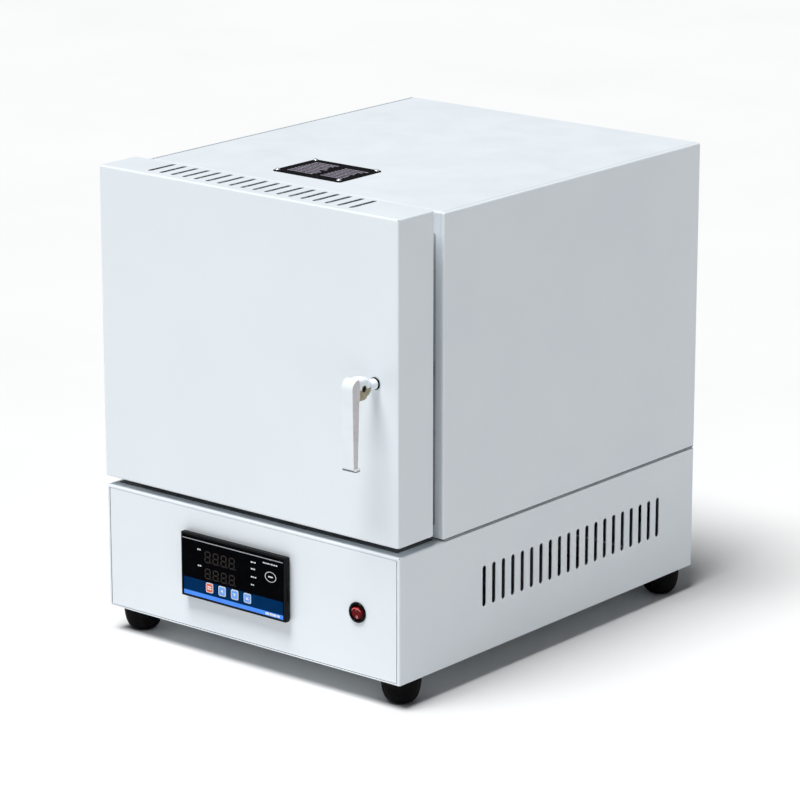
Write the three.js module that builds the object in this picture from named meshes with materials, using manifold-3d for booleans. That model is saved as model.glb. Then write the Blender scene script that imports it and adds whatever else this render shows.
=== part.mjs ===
// Bench-top pottery kiln: an insulated fibre chamber in a sheet-steel case, standing on a control base.
// Millimetres, +Z up, +Y to the back. The origin is on the ground, under the centre of the bounding box.

import * as THREE from "three";
import { mergeGeometries, mergeVertices } from "three/addons/utils/BufferGeometryUtils.js";
import Module from "manifold-3d";

const wasm = await Module();
wasm.setup();

// ---------------------------------------------------------------- driving dimensions

const WIDTH = 440;
const HALF = WIDTH / 2;
const SHEET = 1.5;
const GAP = 0.3;

const FOOT = { height: 31, topRadius: 23, soleRadius: 10, inset: { x: 24, y: 32 } };
const LEVER_REACH = 48;
const HEAD_REACH = 38;

const BASE = { depth: 556, height: 148, rim: 3.5, seam: 0.7 };
const CASE = { setback: 76, height: 372.5, rim: 4.5, footGap: 1.2 };
const DOOR = { proud: 2, thick: 61, bottomGap: 10.5, height: 368 };

// The lever reaches past the front and the thermocouple head past the back: the origin halves the whole.
const FRONT = -(BASE.depth + HEAD_REACH - LEVER_REACH - DOOR.proud) / 2;
const BACK = FRONT + BASE.depth;
const BASE_BOTTOM = FOOT.height;
const BASE_TOP = BASE_BOTTOM + BASE.height;
const CASE_FRONT = FRONT + CASE.setback;
const CASE_BOTTOM = BASE_TOP + CASE.footGap;
const CASE_FLOOR = BASE_TOP + GAP;
const CASE_TOP = BASE_TOP + CASE.height;
const DOOR_FRONT = FRONT - DOOR.proud;
const DOOR_BACK = DOOR_FRONT + DOOR.thick;
const DOOR_BOTTOM = BASE_TOP + DOOR.bottomGap;
const DOOR_TOP = DOOR_BOTTOM + DOOR.height;

const SIDE_SLOTS = { count: 20, pitch: 17.5, first: 150, bottom: 53.5, top: 102, width: 6.8 };
const DOOR_SLOTS = { count: 18, pitch: 17.46, centre: -6.5, front: 13, length: 44, width: 5.6 };

const CHAMBER = { width: 200, depth: 300, height: 160, centreZ: BASE_TOP + 186.5 };
const LINING = { width: 370, depth: 400, top: CASE_TOP - 21, front: CASE_FRONT + SHEET + GAP };
const MOUTH = { width: 320, height: 280 };
const PLUG = { width: 298, height: 258, blanketBack: 34 };
const HEARTH = { width: 180, depth: 280, thick: 10 };
const ELEMENT = { bar: 8, wallGap: 0.8, pitch: 35, runs: 4, frontInset: 16, backInset: 16, tail: 24 };
const TAIL_HOLE = 13;

const THERMOCOUPLE = { z: CHAMBER.centreZ + 62, sheathRadius: 4, holeRadius: 5, reach: 46 };

const WIRE_HOLE = { x: 0, y: BACK - 45, radius: 14 };
const GLAND = { x: 150, z: BASE_BOTTOM + 52, threadRadius: 10, cordRadius: 5.5 };

const CONTROLLER = { left: -96, right: 62.5, bottom: 72.5, top: 149, proud: 9.5, neck: 4, depth: 78 };
const CONTROLLER_RIM = 2.2;
const KEYS = { names: ["set", "shift", "down", "up"], first: -52.8, pitch: 19.2, z: 89.3 };
const KEY = { width: 11, height: 11.5, proud: 0.4, wellGap: 0.4, wellDepth: 7, wellRoom: 1 };

const SWITCH = { x: 160.2, z: 104.2, bezelRadius: 12.25, bezel: 2, barrelRadius: 10, depth: 24 };
const ROCKER = { width: 14.8, halfHeight: 7, pivotDepth: 6, rest: 8, wellWidth: 15.6, wellHeight: 16.4 };

const HANDLE = { x: 187.7, z: DOOR_BOTTOM + 182.4, width: 17.2, rise: 13.3, drop: 89, shaftRadius: 4 };
const HINGE = { x: -215.5, y: (DOOR_BACK + CASE_FRONT) / 2, radius: 4.2, pinRadius: 2, leaf: 28, half: 25 };
const HINGE_HEIGHTS = { lower: DOOR_BOTTOM + 50, upper: DOOR_TOP - 50 };

const NAMEPLATE = { left: -65, right: 35, setback: 43, depth: 75, thick: 0.8, inset: 4.5 };

const WHITE = [0xe4ebee, 0.42, 0.1];
const BLACK_PLASTIC = [0x15171a, 0.5, 0];
const RUBBER = [0x111214, 0.85, 0];
const STEEL = [0x9a9da0, 0.4, 0.9];
const FIBRE = [0xf2efe8, 0.95, 0];

// ---------------------------------------------------------------- solids

function box(x0, x1, y0, y1, z0, z1) {
  const shape = new THREE.BoxGeometry(x1 - x0, y1 - y0, z1 - z0);
  return shape.translate((x0 + x1) / 2, (y0 + y1) / 2, (z0 + z1) / 2);
}

// A cylinder, or a cone, along "x", "y" or "z", from one end to the other.
function rod(axis, a, b, start, end, radius, sides = 24, endRadius = radius) {
  const shape = new THREE.CylinderGeometry(endRadius, radius, end - start, sides);
  shape.translate(0, (start + end) / 2, 0);
  if (axis === "y") {
    return shape.translate(a, 0, b);
  }
  if (axis === "z") {
    return shape.rotateX(Math.PI / 2).translate(a, b, 0);
  }
  return shape.rotateZ(-Math.PI / 2).translate(0, a, b);
}

// A turned body along "y" or "z". The profile's points are [radius, place along the axis].
function turned(axis, a, b, profile, sides = 24) {
  const points = profile.map(([radius, along]) => new THREE.Vector2(radius, along));
  const shape = new THREE.LatheGeometry(points, sides);
  if (axis === "y") {
    return shape.translate(a, 0, b);
  }
  return shape.rotateX(Math.PI / 2).translate(a, b, 0);
}

function outline(points) {
  return new THREE.Shape(points.map(([u, v]) => new THREE.Vector2(u, v)));
}

// Outlines drawn on XY rise along Z, those on XZ run along Y and those on YZ run along X.
function extruded(plane, shape, start, end, curveSegments = 12) {
  const solid = new THREE.ExtrudeGeometry(shape, { depth: end - start, bevelEnabled: false, curveSegments });
  if (plane === "XY") {
    return solid.translate(0, 0, start);
  }
  if (plane === "XZ") {
    return solid.rotateX(Math.PI / 2).translate(0, end, 0);
  }
  return solid.rotateX(Math.PI / 2).rotateZ(Math.PI / 2).translate(start, 0, 0);
}

// An upright slot with round ends, as an outline.
function slotOutline(centre, bottom, top, width) {
  const radius = width / 2;
  const shape = new THREE.Shape();
  shape.absarc(centre, top - radius, radius, 0, Math.PI, false);
  shape.absarc(centre, bottom + radius, radius, Math.PI, 2 * Math.PI, false);
  return shape;
}

function manifoldOf(geometry) {
  const bare = geometry.clone();
  bare.deleteAttribute("normal");
  bare.deleteAttribute("uv");
  const merged = mergeVertices(bare, 1e-4);
  const mesh = new wasm.Mesh({
    numProp: 3,
    vertProperties: new Float32Array(merged.attributes.position.array),
    triVerts: new Uint32Array(merged.index.array),
  });
  return new wasm.Manifold(mesh);
}

function geometryOf(solid) {
  const mesh = solid.getMesh();
  const geometry = new THREE.BufferGeometry();
  geometry.setAttribute("position", new THREE.BufferAttribute(new Float32Array(mesh.vertProperties), 3));
  geometry.setIndex(new THREE.BufferAttribute(new Uint32Array(mesh.triVerts), 1));
  return geometry;
}

function joined(...pieces) {
  return geometryOf(pieces.map(manifoldOf).reduce((whole, piece) => whole.add(piece)));
}

function cut(body, ...tools) {
  return geometryOf(tools.map(manifoldOf).reduce((whole, tool) => whole.subtract(tool), manifoldOf(body)));
}

// ---------------------------------------------------------------- assembly

const kiln = new THREE.Group();

function add(name, geometry, [color, roughness, metalness]) {
  const material = new THREE.MeshStandardMaterial({ color, roughness, metalness });
  const mesh = new THREE.Mesh(geometry, material);
  mesh.name = name;
  kiln.add(mesh);
}

// ---------------------------------------------------------------- control base

// The deck and both sides are one bent sheet, folded in by the rim round the openings at its two ends.
// Each side has a row of cooling slots.
function baseShroud() {
  const block = box(-HALF, HALF, FRONT, BACK, BASE_BOTTOM, BASE_TOP);
  const inner = HALF - SHEET;
  const hollow = box(-inner, inner, FRONT + SHEET, BACK - SHEET, BASE_BOTTOM - 1, BASE_TOP - SHEET);
  const edge = HALF - BASE.rim;
  const ends = box(-edge, edge, FRONT - 1, BACK + 1, BASE_BOTTOM - 1, BASE_TOP - BASE.rim);
  const wireHole = rod("z", WIRE_HOLE.x, WIRE_HOLE.y, BASE_TOP - 3, BASE_TOP + 1, WIRE_HOLE.radius);
  const slots = [];
  for (let i = 0; i < SIDE_SLOTS.count; i += 1) {
    const centre = FRONT + SIDE_SLOTS.first + i * SIDE_SLOTS.pitch;
    const bottom = BASE_BOTTOM + SIDE_SLOTS.bottom;
    const slot = slotOutline(centre, bottom, BASE_BOTTOM + SIDE_SLOTS.top, SIDE_SLOTS.width);
    slots.push(extruded("YZ", slot, -HALF - 1, -inner + 1, 4));
    slots.push(extruded("YZ", slot, inner - 1, HALF + 1, 4));
  }
  return cut(block, hollow, ends, wireHole, mergeGeometries(slots));
}

// The panels that close the two ends of the shroud, seen from the front.
const END_PANEL = {
  half: HALF - BASE.rim - BASE.seam,
  bottom: BASE_BOTTOM + SHEET + BASE.seam,
  top: BASE_TOP - BASE.rim - GAP,
};

function baseFrontPanel() {
  const panel = box(-END_PANEL.half, END_PANEL.half, FRONT, FRONT + SHEET, END_PANEL.bottom, END_PANEL.top);
  const { left, right, bottom, top, neck } = CONTROLLER;
  const play = neck - 1;
  const window = box(left + play, right - play, FRONT - 1, FRONT + 3, bottom + play, top - play);
  const hole = rod("y", SWITCH.x, SWITCH.z, FRONT - 1, FRONT + 3, SWITCH.barrelRadius + GAP);
  return cut(panel, window, hole);
}

function baseRearPanel() {
  const panel = box(-END_PANEL.half, END_PANEL.half, BACK - SHEET, BACK, END_PANEL.bottom, END_PANEL.top);
  return cut(panel, rod("y", GLAND.x, GLAND.z, BACK - 3, BACK + 1, GLAND.threadRadius + GAP));
}

// A rubber dome: nearly upright under the panel, then rounding in to a small flat sole.
function foot(x, y) {
  const { topRadius, soleRadius, height } = FOOT;
  const top = height - GAP;
  const profile = [
    [0, 0],
    [soleRadius, 0],
    [soleRadius + 4, 1.5],
    [soleRadius + 7.5, 5],
    [topRadius - 3, 10],
    [topRadius - 1, 18],
    [topRadius, 26],
    [topRadius, top],
    [0, top],
  ];
  return turned("z", x, y, profile, 24);
}

function buildBase() {
  add("base_shroud", baseShroud(), WHITE);
  add("base_front_panel", baseFrontPanel(), WHITE);
  add("base_rear_panel", baseRearPanel(), WHITE);
  const floorEdge = HALF - SHEET - GAP;
  const floor = [-floorEdge, floorEdge, FRONT + SHEET + GAP, BACK - SHEET - GAP];
  const lip = END_PANEL.half;
  const plate = box(...floor, BASE_BOTTOM, BASE_BOTTOM + SHEET);
  const frontLip = box(-lip, lip, FRONT, FRONT + SHEET + 1, BASE_BOTTOM, BASE_BOTTOM + SHEET);
  const rearLip = box(-lip, lip, BACK - SHEET - 1, BACK, BASE_BOTTOM, BASE_BOTTOM + SHEET);
  add("base_floor", joined(plate, frontLip, rearLip), WHITE);
  const x = HALF - FOOT.inset.x;
  for (const [name, y] of [["front", FRONT + FOOT.inset.y], ["rear", BACK - FOOT.inset.y]]) {
    add(`foot_${name}_left`, foot(-x, y), RUBBER);
    add(`foot_${name}_right`, foot(x, y), RUBBER);
  }
}

// ---------------------------------------------------------------- temperature controller

const BEZEL_FRONT = FRONT - CONTROLLER.proud;
const FACE_FRONT = BEZEL_FRONT + 0.5;
const FACE_THICK = 1.6;

function keyX(index) {
  return KEYS.first + index * KEYS.pitch;
}

// A box round one key, wider than the key by a margin all round.
function keyBox(index, margin, y0, y1) {
  const w = KEY.width / 2 + margin;
  const h = KEY.height / 2 + margin;
  return box(keyX(index) - w, keyX(index) + w, y0, y1, KEYS.z - h, KEYS.z + h);
}

function controllerCase() {
  const { left, right, bottom, top, neck, depth } = CONTROLLER;
  const bezel = box(left, right, BEZEL_FRONT, FRONT - GAP, bottom, top);
  const rear = box(left + neck, right - neck, FRONT - 1, FRONT + depth, bottom + neck, top - neck);
  const rim = CONTROLLER_RIM;
  const recessBack = FACE_FRONT + FACE_THICK + GAP;
  const recess = box(left + rim, right - rim, BEZEL_FRONT - 1, recessBack, bottom + rim, top - rim);
  const wells = KEYS.names.map((name, i) => keyBox(i, KEY.wellGap, BEZEL_FRONT, BEZEL_FRONT + KEY.wellDepth));
  return cut(joined(bezel, rear), recess, ...wells);
}

function controllerFace() {
  const { left, right, bottom, top } = CONTROLLER;
  const rim = CONTROLLER_RIM + GAP;
  const plate = box(left + rim, right - rim, FACE_FRONT, FACE_FRONT + FACE_THICK, bottom + rim, top - rim);
  return cut(plate, ...KEYS.names.map((name, i) => keyBox(i, KEY.wellGap, FACE_FRONT - 1, FACE_FRONT + 3)));
}

// Each clamp presses the case against the back of the panel with a screw that runs along it.
function controllerClamp(side) {
  const { left, right, bottom, top, neck } = CONTROLLER;
  const wall = side < 0 ? left + neck - GAP : right - neck + GAP;
  const outer = wall + side * 9;
  const middle = (bottom + top) / 2;
  const [x0, x1] = [Math.min(wall, outer), Math.max(wall, outer)];
  const block = box(x0, x1, FRONT + 34, FRONT + 46, middle - 12, middle + 12);
  const screw = rod("y", (x0 + x1) / 2, middle, FRONT + SHEET + GAP, FRONT + 62, 2.5, 12);
  return joined(block, screw);
}

function buildController() {
  add("controller_case", controllerCase(), BLACK_PLASTIC);
  add("controller_face", controllerFace(), [0x101318, 0.25, 0]);
  KEYS.names.forEach((name, i) => {
    const color = i === 0 ? 0xc8502a : 0x6fa8e6;
    const key = keyBox(i, 0, FACE_FRONT - KEY.proud, BEZEL_FRONT + KEY.wellDepth - KEY.wellRoom);
    add(`controller_key_${name}`, key, [color, 0.5, 0]);
  });
  add("controller_clamp_left", controllerClamp(-1), BLACK_PLASTIC);
  add("controller_clamp_right", controllerClamp(1), BLACK_PLASTIC);
}

// ---------------------------------------------------------------- mains switch

const SWITCH_FRONT = FRONT - SWITCH.bezel - GAP;
const ROCKER_PIVOT_Y = SWITCH_FRONT + ROCKER.pivotDepth;

function switchBody() {
  const { x, z, bezelRadius, barrelRadius, depth } = SWITCH;
  const bezel = rod("y", x, z, SWITCH_FRONT, FRONT - GAP, bezelRadius, 32);
  const barrel = rod("y", x, z, FRONT - 1, FRONT + depth, barrelRadius);
  const w = ROCKER.wellWidth / 2;
  const h = ROCKER.wellHeight / 2;
  const well = box(x - w, x + w, SWITCH_FRONT - 1, SWITCH_FRONT + 12, z - h, z + h);
  const back = FRONT + depth;
  const blade = (height) => box(x - 3, x + 3, back - 1, back + 9, height - 0.4, height + 0.4);
  return joined(cut(joined(bezel, barrel), well), blade(z - 5), blade(z + 5));
}

// A shallow V on its front: one half lies flat with the bezel while the other half stands out.
// Drawn about the pivot, with u out of the panel and v up, then tilted to its rest side.
function switchRocker() {
  const { width, halfHeight, rest } = ROCKER;
  const valley = 5.5;
  const tip = valley + halfHeight * Math.tan(THREE.MathUtils.degToRad(rest));
  const section = outline([
    [-tip, halfHeight],
    [-valley, 0],
    [-tip, -halfHeight],
    [3.5, -5],
    [3.5, 5],
  ]);
  const rocker = extruded("YZ", section, -width / 2, width / 2);
  rocker.rotateX(THREE.MathUtils.degToRad(rest));
  return rocker.translate(SWITCH.x, ROCKER_PIVOT_Y, SWITCH.z);
}

function buildSwitch() {
  add("switch_body", switchBody(), BLACK_PLASTIC);
  add("switch_rocker", switchRocker(), [0xb3202a, 0.25, 0]);
}

// ---------------------------------------------------------------- power parts in the base

const SINK = { x: -60, y: FRONT + 330, width: 100, depth: 110, height: 60, fins: 8, root: 8, fin: 3 };

// A finned block standing on the base floor, fins down, with the relay on its flat top.
function relayHeatsink() {
  const { x, y, width, depth, height, fins, root, fin } = SINK;
  const floor = BASE_BOTTOM + SHEET + GAP;
  const points = [];
  const pitch = (width - fin) / (fins - 1);
  for (let i = 0; i < fins; i += 1) {
    const left = x - width / 2 + i * pitch;
    points.push([left, i === 0 ? floor : floor + height - root]);
    if (i > 0) {
      points.push([left, floor]);
    }
    points.push([left + fin, floor]);
    if (i < fins - 1) {
      points.push([left + fin, floor + height - root]);
    }
  }
  points.push([x + width / 2, floor + height]);
  points.push([x - width / 2, floor + height]);
  return extruded("XZ", outline(points), y, y + depth);
}

function solidStateRelay() {
  const bottom = BASE_BOTTOM + SHEET + 2 * GAP + SINK.height;
  const [x, y] = [SINK.x, SINK.y + SINK.depth / 2];
  const body = box(x - 22, x + 22, y - 29, y + 29, bottom, bottom + 22);
  const corners = [];
  for (const dx of [-14, 14]) {
    for (const dy of [-22, 22]) {
      corners.push(rod("z", x + dx, y + dy, bottom + 21, bottom + 25, 4, 12));
    }
  }
  return joined(body, ...corners);
}

function terminalBlock() {
  const floor = BASE_BOTTOM + SHEET + GAP;
  const [left, front, ways, way] = [90, FRONT + 440, 4, 16];
  const right = left + ways * way;
  const back = front + 34;
  const base = box(left, right, front, back, floor, floor + 14);
  const walls = [];
  for (let x = left; x <= right; x += way) {
    walls.push(box(Math.max(left, x - 1), Math.min(right, x + 1), front, back, floor + 13, floor + 24));
  }
  return joined(base, ...walls);
}

// A ring with a threaded neck through the panel, a hexagon outside and the cord's hole right through.
function cableGland() {
  const { x, z, threadRadius, cordRadius } = GLAND;
  const y = BACK + GAP;
  const neck = rod("y", x, z, BACK - 14, y + 1, threadRadius - 0.2, 24);
  const hexagon = rod("y", x, z, y, y + 8, 15, 6);
  const dome = rod("y", x, z, y + 7, y + 24, 12.5, 24, 9);
  return cut(joined(neck, hexagon, dome), rod("y", x, z, BACK - 20, y + 30, cordRadius, 16));
}

function buildPower() {
  add("relay_heatsink", relayHeatsink(), [0xb9bcc0, 0.35, 0.9]);
  add("solid_state_relay", solidStateRelay(), [0xd9d6cc, 0.5, 0]);
  add("terminal_block", terminalBlock(), [0xe8e4d8, 0.5, 0]);
  add("cable_gland", cableGland(), BLACK_PLASTIC);
}

// ---------------------------------------------------------------- case

// Each side is folded over by the rim at the front, the back and the top, so the other panels sit inset.
function caseSide(side) {
  const outer = side * HALF;
  const inner = side * (HALF - SHEET);
  const rim = side * (HALF - CASE.rim);
  const span = (a, b) => [Math.min(a, b), Math.max(a, b)];
  const block = box(...span(outer, rim), CASE_FRONT, BACK, CASE_BOTTOM, CASE_TOP);
  const inside = span(inner, rim - side * 2);
  const hollow = box(...inside, CASE_FRONT + SHEET, BACK - SHEET, CASE_BOTTOM - 1, CASE_TOP - SHEET);
  return cut(block, hollow);
}

const PANEL_EDGE = HALF - CASE.rim - GAP;

// The front plate frames the mouth and folds back over the top by the rim.
function caseFrontPlate() {
  const plate = box(-PANEL_EDGE, PANEL_EDGE, CASE_FRONT, CASE_FRONT + SHEET, CASE_BOTTOM, CASE_TOP);
  const fold = box(-PANEL_EDGE, PANEL_EDGE, CASE_FRONT, CASE_FRONT + CASE.rim, CASE_TOP - SHEET, CASE_TOP);
  const [w, h, z] = [MOUTH.width / 2, MOUTH.height / 2, CHAMBER.centreZ];
  return cut(joined(plate, fold), box(-w, w, CASE_FRONT - 1, CASE_FRONT + 3, z - h, z + h));
}

function caseRearPanel() {
  const panel = box(-PANEL_EDGE, PANEL_EDGE, BACK - SHEET, BACK, CASE_BOTTOM, CASE_TOP - SHEET - GAP);
  return cut(panel, rod("y", 0, THERMOCOUPLE.z, BACK - 3, BACK + 1, THERMOCOUPLE.holeRadius, 16));
}

function caseFloor() {
  const edge = HALF - SHEET - GAP;
  const [y0, y1] = [CASE_FRONT + SHEET + GAP, BACK - SHEET - GAP];
  const plate = box(-edge, edge, y0, y1, CASE_FLOOR, CASE_FLOOR + SHEET);
  return cut(plate, rod("z", WIRE_HOLE.x, WIRE_HOLE.y, CASE_FLOOR - 1, CASE_FLOOR + 3, WIRE_HOLE.radius));
}

function nameplateScrew(x, y) {
  const bottom = CASE_TOP + NAMEPLATE.thick + 2 * GAP;
  const profile = [
    [0, bottom],
    [3, bottom],
    [2.6, bottom + 0.8],
    [1.5, bottom + 1.5],
    [0, bottom + 1.8],
  ];
  return turned("z", x, y, profile, 12);
}

function buildCase() {
  add("case_side_left", caseSide(-1), WHITE);
  add("case_side_right", caseSide(1), WHITE);
  add("case_front_plate", caseFrontPlate(), WHITE);
  add("case_rear_panel", caseRearPanel(), WHITE);
  add("case_floor", caseFloor(), WHITE);
  const topFront = CASE_FRONT + CASE.rim + GAP;
  add("case_top", box(-PANEL_EDGE, PANEL_EDGE, topFront, BACK, CASE_TOP - SHEET, CASE_TOP), WHITE);
  const { left, right, setback, depth, thick, inset } = NAMEPLATE;
  const [front, back] = [CASE_FRONT + setback, CASE_FRONT + setback + depth];
  const plate = box(left, right, front, back, CASE_TOP + GAP, CASE_TOP + GAP + thick);
  add("nameplate", plate, [0x1b1c1f, 0.4, 0.3]);
  for (const [xName, x] of [["left", left + inset], ["right", right - inset]]) {
    for (const [yName, y] of [["front", front + inset], ["back", back - inset]]) {
      add(`nameplate_screw_${yName}_${xName}`, nameplateScrew(x, y), STEEL);
    }
  }
}

// ---------------------------------------------------------------- fibre lining and heating

const CHAMBER_BACK = LINING.front + CHAMBER.depth;
const CHAMBER_FLOOR = CHAMBER.centreZ - CHAMBER.height / 2;
const CHAMBER_ROOF = CHAMBER.centreZ + CHAMBER.height / 2;
const LINING_BACK = LINING.front + LINING.depth;
const ELEMENT_OFFSET = CHAMBER.width / 2 - ELEMENT.wallGap - ELEMENT.bar / 2;

function elementHeight(run) {
  return CHAMBER.centreZ + (run - (ELEMENT.runs - 1) / 2) * ELEMENT.pitch;
}

// The back board is pierced by both tails of each element and by the thermocouple.
function liningBack() {
  const w = LINING.width / 2;
  const board = box(-w, w, CHAMBER_BACK + GAP, LINING_BACK, CHAMBER_FLOOR, CHAMBER_ROOF);
  const half = TAIL_HOLE / 2;
  const holes = [rod("y", 0, THERMOCOUPLE.z, CHAMBER_BACK - 1, LINING_BACK + 1, THERMOCOUPLE.holeRadius, 16)];
  for (const x of [-ELEMENT_OFFSET, ELEMENT_OFFSET]) {
    for (const z of [elementHeight(0), elementHeight(ELEMENT.runs - 1)]) {
      holes.push(box(x - half, x + half, CHAMBER_BACK - 1, LINING_BACK + 1, z - half, z + half));
    }
  }
  return cut(board, ...holes);
}

// One wall's element as a flat bar: straight runs joined by half turns, both tails out through the back.
// Its outline follows one side of the bar from tail to tail, then the other side back again.
function element(side) {
  const half = ELEMENT.bar / 2;
  const radius = ELEMENT.pitch / 2;
  const front = LINING.front + ELEMENT.frontInset + radius + half;
  const back = CHAMBER_BACK - ELEMENT.backInset - radius - half;
  const tail = LINING_BACK + ELEMENT.tail;
  const turns = ELEMENT.runs - 1;
  const shape = new THREE.Shape();
  shape.moveTo(tail, elementHeight(0) - half);
  for (let turn = 0; turn < turns; turn += 1) {
    const z = elementHeight(turn) + radius;
    if (turn % 2 === 0) {
      shape.absarc(front, z, radius + half, 1.5 * Math.PI, Math.PI / 2, true);
    } else {
      shape.absarc(back, z, radius - half, -Math.PI / 2, Math.PI / 2, false);
    }
  }
  shape.lineTo(tail, elementHeight(turns) + half);
  shape.lineTo(tail, elementHeight(turns) - half);
  for (let turn = turns - 1; turn >= 0; turn -= 1) {
    const z = elementHeight(turn) + radius;
    if (turn % 2 === 0) {
      shape.absarc(front, z, radius - half, Math.PI / 2, 1.5 * Math.PI, false);
    } else {
      shape.absarc(back, z, radius + half, Math.PI / 2, -Math.PI / 2, true);
    }
  }
  shape.lineTo(tail, elementHeight(0) + half);
  const x = side * ELEMENT_OFFSET;
  return extruded("YZ", shape, x - half, x + half, 10);
}

function thermocoupleHead() {
  const y = BACK + GAP;
  const end = BACK + HEAD_REACH;
  const profile = [
    [0, y],
    [22, y],
    [22, y + 3],
    [9, y + 3.5],
    [9, y + 12],
    [20, y + 13],
    [21, y + 15],
    [21, end - 2],
    [19, end],
    [0, end],
  ];
  return turned("y", 0, THERMOCOUPLE.z, profile, 24);
}

function buildLining() {
  const w = LINING.width / 2;
  const c = CHAMBER.width / 2;
  const floorBottom = CASE_FLOOR + SHEET + GAP;
  const [front, back] = [LINING.front, LINING_BACK];
  add("lining_floor", box(-w, w, front, back, floorBottom, CHAMBER_FLOOR - GAP), FIBRE);
  add("lining_roof", box(-w, w, front, back, CHAMBER_ROOF + GAP, LINING.top), FIBRE);
  add("lining_left", box(-w, -c, front, CHAMBER_BACK, CHAMBER_FLOOR, CHAMBER_ROOF), FIBRE);
  add("lining_right", box(c, w, front, CHAMBER_BACK, CHAMBER_FLOOR, CHAMBER_ROOF), FIBRE);
  add("lining_back", liningBack(), FIBRE);
  const shelf = HEARTH.width / 2;
  const shelfBack = CHAMBER_BACK - 8;
  const shelfFront = shelfBack - HEARTH.depth;
  const hearth = box(-shelf, shelf, shelfFront, shelfBack, CHAMBER_FLOOR, CHAMBER_FLOOR + HEARTH.thick);
  add("hearth_plate", hearth, [0xb9a78e, 0.9, 0]);
  add("element_left", element(-1), [0x6e6862, 0.6, 0.6]);
  add("element_right", element(1), [0x6e6862, 0.6, 0.6]);
  const tip = CHAMBER_BACK - THERMOCOUPLE.reach;
  const { z, sheathRadius } = THERMOCOUPLE;
  add("thermocouple_sheath", rod("y", 0, z, tip, BACK, sheathRadius, 12), [0xe9e2d2, 0.6, 0]);
  add("thermocouple_head", thermocoupleHead(), [0xd8d5cc, 0.6, 0]);
}

// ---------------------------------------------------------------- door

// A pan open at the back, with a row of slots along its top and its bottom edge.
function doorShell() {
  const outer = box(-HALF, HALF, DOOR_FRONT, DOOR_BACK, DOOR_BOTTOM, DOOR_TOP);
  const inner = HALF - SHEET;
  const hollow = box(-inner, inner, DOOR_FRONT + SHEET, DOOR_BACK + 1, DOOR_BOTTOM + SHEET, DOOR_TOP - SHEET);
  const shaftHole = rod("y", HANDLE.x, HANDLE.z, DOOR_FRONT - 1, DOOR_FRONT + 3, HANDLE.shaftRadius + 1, 16);
  const slots = [];
  for (let i = 0; i < DOOR_SLOTS.count; i += 1) {
    const x = DOOR_SLOTS.centre + (i - (DOOR_SLOTS.count - 1) / 2) * DOOR_SLOTS.pitch;
    const front = DOOR_FRONT + DOOR_SLOTS.front;
    const slot = slotOutline(x, front, front + DOOR_SLOTS.length, DOOR_SLOTS.width);
    slots.push(extruded("XY", slot, DOOR_TOP - SHEET - 1, DOOR_TOP + 1, 3));
    slots.push(extruded("XY", slot, DOOR_BOTTOM - 1, DOOR_BOTTOM + SHEET + 1, 3));
  }
  return cut(outer, hollow, shaftHole, mergeGeometries(slots));
}

function doorBackPlate() {
  const edge = HALF - SHEET - GAP;
  const inset = SHEET + GAP;
  const plate = box(-edge, edge, DOOR_BACK - SHEET, DOOR_BACK, DOOR_BOTTOM + inset, DOOR_TOP - inset);
  const [w, h, z] = [PLUG.width / 2 + 1, PLUG.height / 2 + 1, CHAMBER.centreZ];
  const window = box(-w, w, DOOR_BACK - 3, DOOR_BACK + 1, z - h, z + h);
  const shaftHole = rod("y", HANDLE.x, HANDLE.z, DOOR_BACK - 3, DOOR_BACK + 1, HANDLE.shaftRadius + 1, 16);
  return cut(plate, window, shaftHole);
}

// The door's half of a hinge is the upper half of the barrel, bored for the pin.
function hingeDoorLeaf(z) {
  const { x, y, radius, pinRadius, leaf, half } = HINGE;
  const plateFront = DOOR_BACK + GAP;
  const plate = box(x - 2, x + leaf, plateFront, plateFront + 2, z - half, z + half);
  const web = box(x - 2, x + 2, plateFront, y - 2, z + GAP, z + half);
  const barrel = rod("z", x, y, z + GAP, z + half, radius, 20);
  return cut(joined(plate, web, barrel), rod("z", x, y, z - 1, z + half + 1, pinRadius + GAP, 16));
}

// The case's half carries the lower half of the barrel and the pin that the door lifts off.
function hingeCaseLeaf(z) {
  const { x, y, radius, pinRadius, leaf, half } = HINGE;
  const plateBack = CASE_FRONT - GAP;
  const plate = box(x, x + leaf, plateBack - 2, plateBack, z - half, z + half);
  const web = box(x, x + 3, y + 2, plateBack, z - half, z - GAP);
  const barrel = rod("z", x, y, z - half, z - GAP, radius, 20);
  const pin = rod("z", x, y, z - half + 1, z + half - 2, pinRadius, 16);
  return joined(plate, web, barrel, pin);
}

function buildDoor() {
  add("door_shell", doorShell(), WHITE);
  add("door_back_plate", doorBackPlate(), WHITE);
  const behindSkin = DOOR_FRONT + SHEET + GAP;
  const blanketBack = DOOR_FRONT + PLUG.blanketBack;
  add("door_blanket", box(-205, 160, behindSkin, blanketBack, DOOR_BOTTOM + 15, DOOR_TOP - 15), FIBRE);
  const [w, h, z] = [PLUG.width / 2, PLUG.height / 2, CHAMBER.centreZ];
  add("door_plug", box(-w, w, blanketBack + GAP, LINING.front - GAP, z - h, z + h), FIBRE);
  for (const [name, height] of Object.entries(HINGE_HEIGHTS)) {
    add(`hinge_${name}_door_leaf`, hingeDoorLeaf(height), STEEL);
    add(`hinge_${name}_case_leaf`, hingeCaseLeaf(height), STEEL);
  }
}

// ---------------------------------------------------------------- handle and latch

const BUSH = { radius: 7, thick: 1.2 };
const NECK_FRONT = DOOR_FRONT - 14;
const HUB_FRONT = DOOR_FRONT - 34;
const HUB_BACK = DOOR_FRONT - 22;
const LEVER_FRONT = DOOR_FRONT - LEVER_REACH;
const LEVER_BACK = DOOR_FRONT - BUSH.thick - 2 * GAP;
const SET_SCREW = { y: DOOR_FRONT - 28, z: HANDLE.z + 1, radius: 3.9, seat: 5.2 };

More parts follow.
